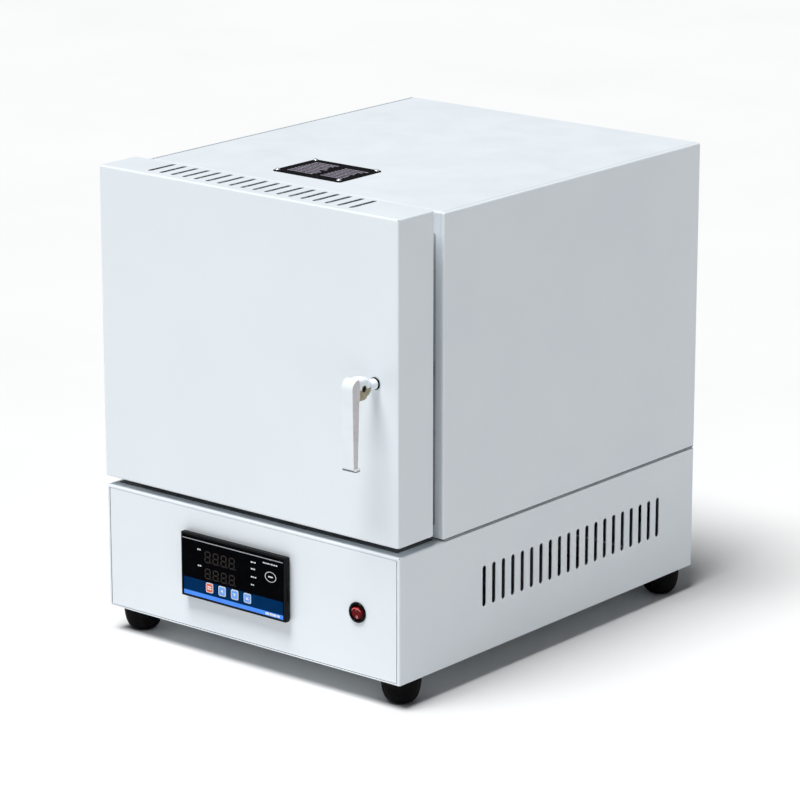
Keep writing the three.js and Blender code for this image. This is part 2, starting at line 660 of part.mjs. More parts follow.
// The grip and its hub seen from the side: y runs along u and z along v. The grip leans in and thins downwards.
function leverSection() {
  const { rise, drop, z } = HANDLE;
  const [top, bottom, elbow] = [z + rise, z - drop, 10];
  const shape = new THREE.Shape();
  shape.moveTo(HUB_BACK, top);
  shape.lineTo(LEVER_FRONT + elbow, top);
  shape.absarc(LEVER_FRONT + elbow, top - elbow, elbow, Math.PI / 2, Math.PI, false);
  shape.lineTo(LEVER_FRONT + 2, bottom + 4);
  shape.lineTo(LEVER_FRONT + 4.5, bottom);
  shape.lineTo(LEVER_FRONT + 10, bottom);
  shape.lineTo(LEVER_FRONT + 10.5, bottom + 6);
  shape.lineTo(LEVER_FRONT + 13, z - rise);
  shape.lineTo(HUB_BACK, z - rise);
  shape.lineTo(NECK_FRONT, z - 7.5);
  shape.lineTo(NECK_FRONT, z + 7.5);
  shape.closePath();
  return shape;
}

function handleLever() {
  const { x, z, width, drop, shaftRadius } = HANDLE;
  const neck = rod("y", x, z, NECK_FRONT - 2, LEVER_BACK, 6.3, 20);
  const bar = extruded("YZ", leverSection(), x - width / 2, x + width / 2, 6);
  const lip = box(x - 9.2, x + 9.2, LEVER_FRONT + 4, LEVER_FRONT + 11.5, z - drop - 0.5, z - drop + 3.8);
  const bore = rod("y", x, z, HUB_FRONT + 6, LEVER_BACK + 1, shaftRadius + GAP, 16);
  const screwHole = rod("x", SET_SCREW.y, SET_SCREW.z, x + SET_SCREW.seat, x + 16, SET_SCREW.radius, 12);
  return cut(joined(neck, bar, lip), bore, screwHole);
}

function latchCam() {
  const { x, z, shaftRadius } = HANDLE;
  const [reach, halfWidth] = [20, 8];
  const shape = new THREE.Shape();
  shape.absarc(x, z, halfWidth, Math.PI / 2, 1.5 * Math.PI, false);
  shape.lineTo(x + reach, z - halfWidth + 2);
  shape.lineTo(x + reach, z + halfWidth - 2);
  const cam = extruded("XZ", shape, DOOR_BACK + 8, DOOR_BACK + 12, 8);
  return cut(cam, rod("y", x, z, DOOR_BACK + 6, DOOR_BACK + 14, shaftRadius + GAP, 16));
}

// The keeper hangs over the cam: its foot is screwed to the front plate above the cam's end.
function latchKeeper() {
  const bottom = HANDLE.z + 8 + 1;
  const back = CASE_FRONT - GAP;
  const section = outline([
    [back, bottom],
    [back, bottom + 30],
    [back - 2, bottom + 30],
    [back - 2, bottom + 5],
    [back - 12, bottom + 5],
    [back - 12, bottom],
  ]);
  return extruded("YZ", section, HANDLE.x + 9, HANDLE.x + 19);
}

function handleBush() {
  const { x, z, shaftRadius } = HANDLE;
  const [front, back] = [DOOR_FRONT - GAP - BUSH.thick, DOOR_FRONT - GAP];
  const ring = rod("y", x, z, front, back, BUSH.radius, 24);
  return cut(ring, rod("y", x, z, front - 1, back + 1, shaftRadius + GAP, 16));
}

function buildHandle() {
  const { x, z, shaftRadius } = HANDLE;
  add("handle_bush", handleBush(), BLACK_PLASTIC);
  add("handle_lever", handleLever(), [0xf0f2f2, 0.35, 0]);
  add("handle_shaft", rod("y", x, z, HUB_FRONT + 6.5, DOOR_BACK + 13, shaftRadius, 16), STEEL);
  const seat = x + SET_SCREW.seat + GAP;
  const screw = rod("x", SET_SCREW.y, SET_SCREW.z, seat, seat + 2, SET_SCREW.radius - GAP, 12);
  add("handle_set_screw", screw, [0x3a2a20, 0.5, 0.8]);
  add("latch_cam", latchCam(), STEEL);
  add("latch_keeper", latchKeeper(), STEEL);
}

buildBase();
buildController();
buildSwitch();
buildPower();
buildCase();
buildLining();
buildDoor();
buildHandle();

export default kiln;
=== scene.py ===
from math import atan2, cos, hypot, pi, radians, sin, sqrt, tan, tau
import random

import bmesh
import bpy
from mathutils import Matrix, Vector, noise


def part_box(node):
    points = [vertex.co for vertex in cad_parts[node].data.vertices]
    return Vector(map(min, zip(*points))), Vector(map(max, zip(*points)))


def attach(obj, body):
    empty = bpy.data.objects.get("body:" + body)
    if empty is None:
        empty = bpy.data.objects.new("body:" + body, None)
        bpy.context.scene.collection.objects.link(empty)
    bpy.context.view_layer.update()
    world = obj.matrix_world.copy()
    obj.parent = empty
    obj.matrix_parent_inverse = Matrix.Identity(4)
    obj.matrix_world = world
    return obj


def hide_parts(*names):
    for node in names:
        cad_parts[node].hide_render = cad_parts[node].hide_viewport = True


# Meshes are drawn in millimetres, in the CAD's own frame, and scaled when they become pieces.
MM = 0.001
# The sheet is drawn thinner than its solid, from the outside in, so its slots read as open.
SHEET = 0.9
BEND = 2.2
NEAR = 1e-6

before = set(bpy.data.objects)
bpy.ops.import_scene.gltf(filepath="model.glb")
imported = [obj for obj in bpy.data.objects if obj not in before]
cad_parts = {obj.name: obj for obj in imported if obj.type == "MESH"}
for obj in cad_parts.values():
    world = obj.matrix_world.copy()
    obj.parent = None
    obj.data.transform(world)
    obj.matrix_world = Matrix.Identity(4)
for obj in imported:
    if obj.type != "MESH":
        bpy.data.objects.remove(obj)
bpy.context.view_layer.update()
scene = bpy.context.scene


def box_mm(node):
    low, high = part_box(node)
    return low / MM, high / MM


def centre_mm(node):
    return [(a + b) / 2 for a, b in zip(*box_mm(node))]


# ---- camera, light and floor

CAMERA_PLACE = (2.6712, -3.2466, 1.4447)
CAMERA_FORWARD = (-0.6120, 0.7429, -0.2712)
CAMERA_LENS = 167.42
KEY_FROM = (-0.05, -0.32, 0.95)
KEY_POWER = 3.78
KEY_SPREAD = 28
SKY_COLOR = (0.93, 0.97, 1, 1)
SKY_POWER = 0.125
FLOOR_REACH = 30


def add_object(name, data):
    obj = bpy.data.objects.new(name, data)
    scene.collection.objects.link(obj)
    return obj


def make_camera():
    data = bpy.data.cameras.new("camera")
    data.sensor_width = 36
    data.lens = CAMERA_LENS
    camera = add_object("camera", data)
    camera.location = CAMERA_PLACE
    camera.rotation_euler = Vector(CAMERA_FORWARD).to_track_quat("-Z", "Y").to_euler()
    scene.camera = camera


def make_studio():
    scene.view_settings.view_transform = "Standard"
    world = bpy.data.worlds.new("studio")
    world.use_nodes = True
    sky = world.node_tree.nodes["Background"]
    sky.inputs["Color"].default_value = SKY_COLOR
    sky.inputs["Strength"].default_value = SKY_POWER
    scene.world = world
    data = bpy.data.lights.new("key", "SUN")
    data.energy = KEY_POWER
    data.angle = radians(KEY_SPREAD)
    key = add_object("key", data)
    key.rotation_euler = Vector(KEY_FROM).to_track_quat("Z", "Y").to_euler()
    mesh = bpy.data.meshes.new("floor")
    corners = [(x, y, 0) for x, y in rectangle(*(-FLOOR_REACH, FLOOR_REACH) * 2)]
    mesh.from_pydata(corners, [], [(0, 1, 2, 3)])
    mesh.materials.append(finish("floor_white", (231, 231, 231), (228, 228, 228), 2, (0.85, 0.9)))
    add_object("floor", mesh)


# ---- materials

def linear(color):
    return tuple(((c / 255 + 0.055) / 1.055) ** 2.4 if c > 10 else c / 255 / 12.92
            for c in color) + (1,)


def finish(name, light, dark, grain, rough, bumps=(), stretch=(1, 1, 1), specks=None,
        metal=0, specular=0.5, coat=(0, 0.03)):
    """A procedural material: colour and roughness that drift, and fine bumps.

    Scales are per metre. bumps holds (scale, strength, height in metres), specks holds
    (scale, share, colour), and coat holds a weight and a roughness.
    """
    material = bpy.data.materials.new(name)
    material.use_nodes = True
    nodes, links = material.node_tree.nodes, material.node_tree.links
    shader = nodes["Principled BSDF"]

    def settle(node, **values):
        for socket, value in values.items():
            node.inputs[socket.replace("_", " ")].default_value = value
        return node

    def add(kind, **values):
        return settle(nodes.new("ShaderNode" + kind), **values)

    place = add("Mapping", Scale=stretch)
    links.new(add("TexCoord").outputs["Object"], place.inputs["Vector"])

    def texture(scale, detail):
        node = add("TexNoise", Scale=scale, Detail=detail)
        links.new(place.outputs["Vector"], node.inputs["Vector"])
        return node.outputs["Fac"]

    ramp = add("ValToRGB")
    for stop, position, shade in zip(ramp.color_ramp.elements, (0.32, 0.68), (dark, light)):
        stop.position = position
        stop.color = linear(shade)
    links.new(texture(grain, 6), ramp.inputs["Fac"])
    color = ramp.outputs["Color"]
    if specks:
        scale, share, tint = specks
        mask = add("MapRange", From_Min=0.94 - share, From_Max=1 - share)
        links.new(texture(scale, 2), mask.inputs["Value"])
        mix = add("Mix")
        mix.data_type = "RGBA"
        settle(mix, B=linear(tint))
        links.new(mask.outputs["Result"], mix.inputs["Factor"])
        links.new(color, mix.inputs["A"])
        color = mix.outputs["Result"]
    links.new(color, shader.inputs["Base Color"])
    spread = add("MapRange", From_Min=0.3, From_Max=0.7, To_Min=rough[0], To_Max=rough[1])
    links.new(texture(grain * 2.3, 4), spread.inputs["Value"])
    links.new(spread.outputs["Result"], shader.inputs["Roughness"])
    normal = None
    for scale, strength, height in bumps:
        bump = add("Bump", Strength=strength, Distance=height)
        links.new(texture(scale, 3), bump.inputs["Height"])
        if normal:
            links.new(normal, bump.inputs["Normal"])
        normal = bump.outputs["Normal"]
    if normal:
        links.new(normal, shader.inputs["Normal"])
    settle(shader, Metallic=metal, Specular_IOR_Level=specular, Coat_Weight=coat[0],
        Coat_Roughness=coat[1])
    return material


ENAMEL = finish("white_powder_coat", (235, 242, 247), (232, 239, 245), 9, (0.36, 0.46),
    [(520, 0.25, 4e-5), (2600, 0.12, 1e-5)], coat=(0.25, 0.12))
# Painted shade: a dark grey for the inside faces of the sheet pans, so the slots read dark as if in
# shadow.
INNER_SHADE_SHEET = finish("inner_sheet_painted_shade", (50, 53, 56), (38, 41, 44), 40, (0.5, 0.65),
    [(900, 0.2, 3e-5)], metal=0.2, specular=0.15)
LEVER_WHITE = finish("lever_glaze", (239, 245, 249), (234, 241, 246), 60, (0.16, 0.24),
    [(240, 0.2, 6e-5)], coat=(0.6, 0.08))
# Painted shade: a greyer copy of the lever glaze for the grip's side faces, which the light reaches
# less.
LEVER_SIDE_SHADE = finish("lever_side_painted_shade", (218, 215, 218), (206, 203, 206), 60, (0.24, 0.34),
    [(240, 0.2, 6e-5)], coat=(0.3, 0.12))
# Painted shade: a dark grey for the down-facing faces of the lever's bottom lip, where shade falls.
LEVER_UNDER_SHADE = finish("lever_underside_painted_shade", (122, 126, 129), (98, 102, 106), 260, (0.4, 0.55),
    [(900, 0.3, 4e-5)], metal=0.3)
# Painted shade: a mid grey for a strip on the deck under the door, standing in for the shadow
# there.
DECK_SHADE = finish("deck_painted_shade", (112, 114, 116), (96, 98, 100), 500, (0.9, 1), [(1900, 0.6, 2e-4)],
    specular=0.1)
GASKET = finish("black_gasket", (16, 17, 18), (9, 10, 11), 300, (0.8, 0.95), [(1500, 0.3, 3e-5)],
    specular=0.06)
RUBBER = finish("moulded_rubber", (13, 13, 14), (7, 7, 8), 140, (0.62, 0.8),
    [(1300, 0.4, 6e-5), (160, 0.15, 1e-4)], specks=(700, 0.36, (22, 22, 23)), specular=0.06)
BLACK = finish("black_moulding", (17, 18, 20), (10, 11, 13), 160, (0.4, 0.52), [(3200, 0.35, 2e-5)],
    specular=0.1)
BLACK_GLOSS = finish("black_gloss_moulding", (12, 12, 14), (7, 7, 9), 120, (0.16, 0.26),
    [(900, 0.08, 1e-5)], specular=0.06, coat=(0.05, 0.08))
DISPLAY = finish("smoked_display", (3, 4, 6), (2, 2, 4), 50, (0.22, 0.32), [(1500, 0.05, 1e-5)],
    specular=0.01)
NAVY = finish("navy_print", (0, 47, 92), (0, 41, 83), 90, (0.3, 0.4), [(2400, 0.1, 1e-5)],
    specular=0.01)
SKY = finish("sky_print", (76, 148, 255), (68, 138, 250), 90, (0.3, 0.4), [(2400, 0.1, 1e-5)],
    specular=0.2)
SEGMENT = finish("unlit_segment", (46, 41, 38), (38, 33, 30), 400, (0.35, 0.5), specular=0.1)
PRINT = finish("white_print", (235, 238, 240), (214, 219, 224), 500, (0.45, 0.6))
GREY_PRINT = finish("grey_print", (172, 174, 178), (150, 152, 158), 300, (0.45, 0.6))
PLATE_PRINT = finish("plate_print", (158, 153, 166), (122, 117, 130), 500, (0.5, 0.65))
KEY_RED = finish("red_key", (236, 98, 54), (220, 78, 38), 220, (0.4, 0.5), [(2200, 0.2, 1e-5)])
KEY_BLUE = finish("blue_key", (112, 172, 252), (94, 152, 240), 220, (0.4, 0.5), [(2200, 0.2, 1e-5)])
KEY_RIM = finish("pale_key_rim", (240, 244, 248), (222, 228, 234), 300, (0.45, 0.55))
ROCKER_RED = finish("smoked_red_rocker", (118, 4, 10), (62, 0, 3), 160, (0.14, 0.24),
    [(400, 0.06, 2e-5)], specular=0.06, coat=(0.05, 0.1))
# Painted highlight: a pale red for a rib that stands in for the light's reflection along the
# rocker's upper rim.
ROCKER_HIGHLIGHT = finish("rocker_painted_highlight", (232, 98, 98), (206, 70, 72), 300, (0.2, 0.3),
    [(400, 0.06, 2e-5)])
ROCKER_MARK = finish("rocker_mark", (236, 170, 178), (214, 140, 150), 400, (0.3, 0.4))
STEEL = finish("zinc_plated_steel", (176, 178, 180), (140, 143, 147), 110, (0.28, 0.44),
    [(900, 0.15, 2e-5)], (1, 1, 6), metal=1)
STAINLESS = finish("brushed_stainless", (206, 208, 211), (186, 188, 192), 90, (0.34, 0.46),
    [(700, 0.2, 2e-5)], (0.6, 1, 14), metal=0.35)
# Bare casting inside the set-screw hole; also painted shade and a painted warm reflection on the
# hub's lower half.
BARE_CAST_AND_SHADE = finish("bare_casting_and_painted_shade", (176, 168, 142), (142, 134, 108), 240, (0.4, 0.55),
    [(900, 0.3, 4e-5)], metal=0.35)
DARK_STEEL = finish("blackened_steel", (72, 52, 40), (34, 24, 18), 300, (0.4, 0.6),
    [(1200, 0.3, 3e-5)], metal=0.8)
BRIGHT_STEEL = finish("nickel_screw", (236, 238, 240), (206, 208, 212), 260, (0.18, 0.32),
    [(1600, 0.12, 1e-5)], metal=0.7)
ALUMINIUM = finish("extruded_aluminium", (200, 203, 207), (172, 176, 181), 120, (0.3, 0.42),
    [(600, 0.25, 3e-5)], (8, 0.4, 8), metal=1)
ANODISED = finish("anodised_plate", (14, 13, 17), (9, 9, 12), 160, (0.4, 0.52), [(900, 0.12, 1e-5)],
    (0.5, 12, 1), specular=0.06)
FIBRE = finish("ceramic_fibre_board", (243, 240, 233), (235, 231, 223), 34, (0.9, 1),
    [(230, 0.7, 5e-4), (1100, 0.5, 1.5e-4)], (1, 3.2, 1), (340, 0.3, (228, 222, 210)))
BLANKET = finish("ceramic_fibre_blanket", (246, 245, 241), (230, 228, 222), 22, (0.95, 1),
    [(160, 0.8, 9e-4), (700, 0.6, 3e-4)], (4, 1, 1))
HEARTH = finish("cordierite", (200, 184, 158), (176, 158, 131), 70, (0.8, 0.95),
    [(900, 0.5, 2e-4), (2200, 0.3, 6e-5)], specks=(1400, 0.4, (128, 106, 82)))
HEATING_WIRE = finish("oxidised_heating_wire", (118, 112, 106), (64, 60, 58), 160, (0.5, 0.7),
    [(1500, 0.4, 5e-5)], metal=0.6)
CERAMIC = finish("glazed_ceramic", (238, 231, 215), (224, 215, 196), 80, (0.4, 0.55),
    [(600, 0.2, 5e-5)])
HEAD_ENAMEL = finish("hammered_head_paint", (214, 212, 205), (196, 194, 187), 200, (0.4, 0.55),
    [(260, 0.5, 2e-4)])
RELAY = finish("relay_moulding", (222, 218, 206), (208, 203, 190), 120, (0.45, 0.55),
    [(2600, 0.3, 2e-5)])


# ---- mesh tools

def from_pydata(vertices, faces):
    mesh = bpy.data.meshes.new("draft")
    mesh.from_pydata([tuple(v) for v in vertices], [], faces)
    bm = bmesh.new()
    bm.from_mesh(mesh)
    bpy.data.meshes.remove(mesh)
    bmesh.ops.recalc_face_normals(bm, faces=bm.faces)
    return bm


def block(low, high, radius=0, segments=3, keep=None):
    """A box whose edges are rounded: all of them, or those whose middle keep accepts."""
    bm = bmesh.new()
    bmesh.ops.create_cube(bm, size=1)
    low, high = Vector(low), Vector(high)
    for vertex in bm.verts:
        vertex.co = Vector([low[i] if vertex.co[i] < 0 else high[i] for i in range(3)])
    if radius > 0:
        edges = [edge for edge in bm.edges
            if keep is None or keep((edge.verts[0].co + edge.verts[1].co) / 2)]
        bmesh.ops.bevel(bm, geom=edges, offset=radius, segments=segments, profile=0.5,
            affect="EDGES")
    bmesh.ops.recalc_face_normals(bm, faces=bm.faces)
    return bm


def shrunk(low, high, near, far, *edge):
    """A block that stands in from a box: by near at its low corner, by far at its high one."""
    return block(low + Vector(near), high - Vector(far), *edge)


def to_axis(u, v, along, axis):
    """Drawing coordinates to space: u, v lie across the axis and along runs down it."""
    return Vector({"x": (along, u, v), "y": (u, along, v), "z": (u, v, along)}[axis])


def prism(points, start, end, axis):
    """A closed outline, drawn across an axis and pulled along it."""
    n = len(points)
    vertices = [to_axis(u, v, along, axis) for along in (start, end) for u, v in points]
    faces = [tuple(range(n)), tuple(range(2 * n - 1, n - 1, -1))]
    faces += [(i, (i + 1) % n, n + (i + 1) % n, n + i) for i in range(n)]
    return from_pydata(vertices, faces)


def lathe(profile, centre, axis, sides=32, squash=1, start=0):
    """A turned body; its profile holds (radius, distance along the axis from start)."""
    vertices, rings = [], []
    for radius, along in profile:
        along += start
        if radius == 0:
            rings.append([len(vertices)])
            vertices.append(to_axis(centre[0], centre[1], along, axis))
            continue
        rings.append(list(range(len(vertices), len(vertices) + sides)))
        for i in range(sides):
            angle = tau * i / sides
            u = centre[0] + radius * cos(angle)
            v = centre[1] + squash * radius * sin(angle)
            vertices.append(to_axis(u, v, along, axis))
    faces = []
    for a, b in zip(rings, rings[1:]):
        for i in range(sides):
            j = (i + 1) % sides
            corners = [a[i % len(a)], a[j % len(a)], b[j % len(b)], b[i % len(b)]]
            face = tuple(dict.fromkeys(corners))
            if len(face) > 2:
                faces.append(face)
    return from_pydata(vertices, faces)


def rounded(points, radii, steps=5):
    """Rounds the corners of an outline; radii is one number, or one for each corner."""
    result = []
    n = len(points)
    for i, point in enumerate(points):
        radius = radii[i] if isinstance(radii, list) else radii
        here = Vector(point)
        if radius <= 0:
            result.append(tuple(here))
            continue
        before = (Vector(points[i - 1]) - here).normalized()
        after = (Vector(points[(i + 1) % n]) - here).normalized()
        half = before.angle(after) / 2
        middle = here + (before + after).normalized() * radius / sin(half)
        reach = radius / tan(half)
        start, end = here + before * reach - middle, here + after * reach - middle
        first = atan2(start.y, start.x)
        sweep = atan2(end.y, end.x) - first
        sweep = (sweep + pi) % tau - pi
        for step in range(steps + 1):
            angle = first + sweep * step / steps
            result.append((middle.x + radius * cos(angle),
                middle.y + radius * sin(angle)))
    return result


def rectangle(u0, u1, v0, v1, radius=0, steps=5):
    points = [(u0, v0), (u1, v0), (u1, v1), (u0, v1)]
    return rounded(points, radius, steps) if radius else points


def front_outline(low, high, grow=0, radius=0, steps=5):
    """The outline of a box as the front shows it, let out by grow."""
    return rectangle(low.x - grow, high.x + grow, low.z - grow, high.z + grow, radius, steps)


def circle(u, v, radius, sides=32):
    angles = [tau * i / sides for i in range(sides)]
    return [(u + radius * cos(a), v + radius * sin(a)) for a in angles]


def bar(u, v, radius, start, end, axis, sides=32):
    """A round bar, most often to cut a hole with."""
    return prism(circle(u, v, radius, sides), start, end, axis)


def slots(centres, v0, v1, width, start, end, axis):
    """A row of bars with round ends, to cut slots with."""
    half = width / 2
    return merged(*(prism(rectangle(u - half, u + half, v0, v1, half * 0.999, 8), start, end, axis)
            for u in centres))


def tube(points, radius, sides=8):
    """A wire along points, closed at both ends."""
    points = [Vector(p) for p in points]
    last = len(points) - 1
    tangents = [(points[min(i + 1, last)] - points[max(i - 1, 0)]).normalized()
        for i in range(len(points))]
    side = tangents[0].orthogonal().normalized()
    vertices = []
    for point, tangent in zip(points, tangents):
        side = (side - tangent * side.dot(tangent)).normalized()
        other = tangent.cross(side)
        for i in range(sides):
            angle = tau * i / sides
            vertices.append(point + radius * (cos(angle) * side + sin(angle) * other))
    return from_pydata(vertices, ring_faces(last + 1, sides)
            + [tuple(range(sides - 1, -1, -1)),
            tuple(range(last * sides, (last + 1) * sides))])


def ring_faces(rings, sides, first=0):
    """The faces between rings of vertices that follow one another."""
    faces = []
    for ring in range(rings - 1):
        a, b = first + ring * sides, first + (ring + 1) * sides
        for i in range(sides):
            j = (i + 1) % sides
            faces.append((a + i, a + j, b + j, b + i))
    return faces


def merged(*parts):
    """Separate solids as one mesh; they don't overlap."""
    whole = bmesh.new()
    for part in parts:
        mesh = bpy.data.meshes.new("draft")
        part.to_mesh(mesh)
        part.free()
        whole.from_mesh(mesh)
        bpy.data.meshes.remove(mesh)
    return whole


def shown_object(name, bm):
    mesh = bpy.data.meshes.new(name)
    bm.to_mesh(mesh)
    bm.free()
    return add_object(name, mesh)


def evaluated(obj, helpers=()):
    """The mesh that an object's modifiers make, as bmesh; the object and its helpers go."""
    graph = bpy.context.evaluated_depsgraph_get()
    mesh = bpy.data.meshes.new_from_object(obj.evaluated_get(graph))
    bm = bmesh.new()
    bm.from_mesh(mesh)
    for used in (mesh, *(o.data for o in (obj, *helpers))):
        bpy.data.meshes.remove(used)
    return bm


def combined(operation, body, *tools):
    target = shown_object("draft", body)
    helpers = [shown_object("draft", tool) for tool in tools]
    for helper in helpers:
        modifier = target.modifiers.new("solid", "BOOLEAN")
        modifier.operation = operation
        modifier.solver = "EXACT"
        modifier.object = helper
    return evaluated(target, helpers)


def cut(body, *tools):
    return combined("DIFFERENCE", body, *tools)


def placed(bm, matrix):
    bmesh.ops.transform(bm, matrix=matrix, verts=bm.verts)
    return bm


def piece(name, bm, material, slot, replaces=None, body="kiln_body", angle=35, weighted=True):
    """Turns a bmesh into a shown piece that rides on a body."""
    bmesh.ops.remove_doubles(bm, verts=bm.verts, dist=1e-4)
    bmesh.ops.recalc_face_normals(bm, faces=bm.faces)
    bmesh.ops.scale(bm, vec=(MM, MM, MM), verts=bm.verts)
    obj = shown_object(name, bm)
    obj.data.shade_smooth()
    obj.data.set_sharp_from_angle(angle=radians(angle))
    for each in material if isinstance(material, list) else [material]:
        obj.data.materials.append(each)
    if weighted:
        modifier = obj.modifiers.new("normals", "WEIGHTED_NORMAL")
        modifier.keep_sharp = True
    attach(obj, body)
    if replaces:
        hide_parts(replaces)


# How the pieces with uneven faces, and those of wire, are shaded.
UNEVEN = {"angle": 50, "weighted": False}
WIRY = {"angle": 60, "weighted": False}


def lined(bm, low, high):
    """Gives the second material, painted shade for the dark inside, to the faces that lie inside a
    sheet part's outer skin.
    """
    for face in bm.faces:
        middle = face.calc_center_median()
        depth = min(min(middle[i] - low[i], high[i] - middle[i]) for i in range(3))
        face.material_index = 1 if depth > 0.7 * SHEET else 0
    return bm


def pan_screw(radius, height):
    """A domed screw head with a cross recess, drawn on the origin and facing +Z."""
    profile = [(0, 0), (radius, 0), (radius, height * 0.3), (radius * 0.84, height * 0.66),
        (radius * 0.5, height * 0.94), (0, height)]
    arm, thick, bottom, top = radius * 0.55, radius * 0.13, height * 0.45, height + 1
    return cut(lathe(profile, (0, 0), "z", 24), block((-arm, -thick, bottom), (arm, thick, top)),
            block((-thick, -arm, bottom), (thick, arm, top)))


# What turns a screw that faces up to face another way.
TURNS = {way: Matrix.Rotation(angle, 4, "X")
    for way, angle in (("up", 0), ("down", pi), ("front", pi / 2), ("back", -pi / 2))}


def screws(name, places, facing, radius, height, body="kiln_body"):
    """A row of screw heads, each turned a little differently."""
    draw = random.Random(name)
    heads = []
    for place in places:
        spin = Matrix.Rotation(draw.uniform(0, pi), 4, "Z")
        turn = Matrix.Translation(place) @ TURNS[facing] @ spin
        heads.append(placed(pan_screw(radius, height), turn))
    piece(name, merged(*heads), BRIGHT_STEEL, "plated_steel", body=body, angle=30)


# ---- control base

BASE_RIM = 3.5
# Distances of the side slots from the base's front, and their bottom, top and width.
SIDE_SLOTS = [150 + 17.5 * i for i in range(20)]
SIDE_SLOT = (53.5, 102, 6.8)
WIRE_HOLE = (0, 239, 14)
PANEL_HOLE = 10.3


def build_base():
    low, high = box_mm("base_shroud")
    top = high.z
    shell = block(low, high, BEND, 4, lambda middle: abs(middle.z - low.z) > NEAR)
    inner = shrunk(low, high, (SHEET, SHEET, -5), (SHEET, SHEET, SHEET))
    ends = shrunk(low, high, (BASE_RIM, -5, -6), (BASE_RIM, -5, BASE_RIM))
    slot_bottom, slot_top, width = SIDE_SLOT
    row = ([low.y + place for place in SIDE_SLOTS], low.z + slot_bottom, low.z + slot_top, width)
    left = slots(*row, low.x - 5, low.x + 5, "x")
    right = slots(*row, high.x - 5, high.x + 5, "x")
    wire_hole = bar(*WIRE_HOLE, top - 6, top + 6, "z")
    # The shroud's inside faces get the dark painted shade.
    shell = lined(cut(shell, inner, ends, left, right, wire_hole), low, high)
    piece("shroud_bent_sheet", shell, [ENAMEL, INNER_SHADE_SHEET], "enamel", "base_shroud")

    low, high = box_mm("base_front_panel")
    wall = box_mm("case_front_plate")[0].y
    # A thin grey strip on the deck under the door, as painted shade for the gap's shadow.
    shade_strip = block((low.x + 3, low.y + 13, top + 0.05), (high.x - 9, wall - 1.5, top + 0.9), 0.3, 2)
    piece("deck_shade_strip", shade_strip, DECK_SHADE, "enamel")

    through = (low.y - 3, high.y + 3, "y")
    window = prism(front_outline(*box_mm("controller_case"), -3), *through)
    x, _, z = centre_mm("switch_body")
    hole = bar(x, z, PANEL_HOLE, *through, 40)
    panel = shrunk(low, high, (0.35, 0, 0), (0.35, 0, 0.2), 0.3, 2)
    piece("front_panel_sheet", cut(panel, window, hole), ENAMEL, "enamel", "base_front_panel")

    low, high = box_mm("base_rear_panel")
    x, _, z = centre_mm("cable_gland")
    through = (low.y - 3, high.y + 3, "y")
    hole = bar(x, z, PANEL_HOLE, *through, 40)
    louvres = slots([-60 + i * 12 for i in range(9)], low.z + 38, low.z + 92, 5, *through)
    panel = cut(block(low, high, 0.45, 2), hole, louvres)
    piece("rear_panel_sheet", panel, ENAMEL, "enamel", "base_rear_panel")
    inset = 9
    spots = [(x, high.y, z) for x in (low.x + inset, -70, 70, high.x - inset)
        for z in (low.z + inset, high.z - inset)]
    screws("rear_panel_screws", spots, "back", 3.6, 2.2)

    low, high = box_mm("base_floor")
    plate = shrunk(low, high, (0, 0.05, 0), (0, 0.05, 0), 0.4, 2)
    vents = [bar(-60 + i * 12, -60 + j * 12, 2.5, low.z - 3, high.z + 3, "z", 16)
        for i in range(11) for j in range(9)]
    piece("floor_sheet", cut(plate, merged(*vents)), ENAMEL, "enamel", "base_floor")


def build_feet():
    for side in ("front_left", "front_right", "rear_left", "rear_right"):
        x, y, _ = centre_mm("foot_" + side)
        top = box_mm("foot_" + side)[1].z
        profile = [(0, 9), (4.2, 9), (4.2, 0.6), (4.8, 0), (9.2, 0), (11.2, 0.4), (13.6, 1.5),
            (15.6, 3), (17.4, 5), (18.9, 7.4), (20.1, 10.2), (21.1, 13.6), (21.9, 17.6),
            (22.5, 22), (22.9, 26), (23, top - 0.6), (22.5, top), (0, top)]
        piece("dome_foot_" + side, lathe(profile, (x, y), "z", 56), RUBBER, "rubber",
            "foot_" + side)
        screw = placed(pan_screw(3.4, 2.2), Matrix.Translation((x, y, 8.9)) @ TURNS["down"])
        piece("foot_screw_" + side, screw, STEEL, "plated_steel")


# ---- temperature controller

PRINT_THICK = 0.07
# Each bar of a digit runs between two points of a unit square.
SEGMENTS = [((0.02, 1), (0.98, 1)), ((1, 0.99), (1, 0.51)), ((1, 0.49), (1, 0.01)),
    ((0.02, 0), (0.98, 0)), ((0, 0.49), (0, 0.01)), ((0, 0.99), (0, 0.51)),
    ((0.06, 0.5), (0.94, 0.5))]
DIGIT_PITCH = 12.3
# Where a printed word starts, the widths of its strokes, and their height.
LABELS = [(-70.8, 132.3, [2.2, 1.8], 1.7), (-70.3, 113, [2.2, 1.8], 1.7),
    (10.6, 134, [2.6, 0.9, 2.2], 1.5), (10.6, 126, [2.8, 2.6], 1.5),
    (10.6, 116.5, [2.4, 1.8, 2.2], 1.5), (10.6, 107.2, [1.8, 1.6], 1.5),
    (28.6, 137, [3, 2.2, 2.6, 1.1, 3, 2.8, 2.2], 1.4)]
SYMBOLS = {
    "set": [rectangle(-2.9, 2.9, 0.5, 2, 0.4, 3), rectangle(-2.9, 2.9, -2, -0.5, 0.4, 3)],
    "shift": [[(-2.3, 0), (1.6, 2.3), (1.6, -2.3)]],
    "down": [[(0, -2.1), (2.4, 1.7), (-2.4, 1.7)]],
    "up": [[(0, 2.1), (-2.4, -1.7), (2.4, -1.7)]],
}


def printed(outline, front):
    """A raised print on a face that looks to the front."""
    return prism(outline, front - PRINT_THICK, front + 0.02, "y")


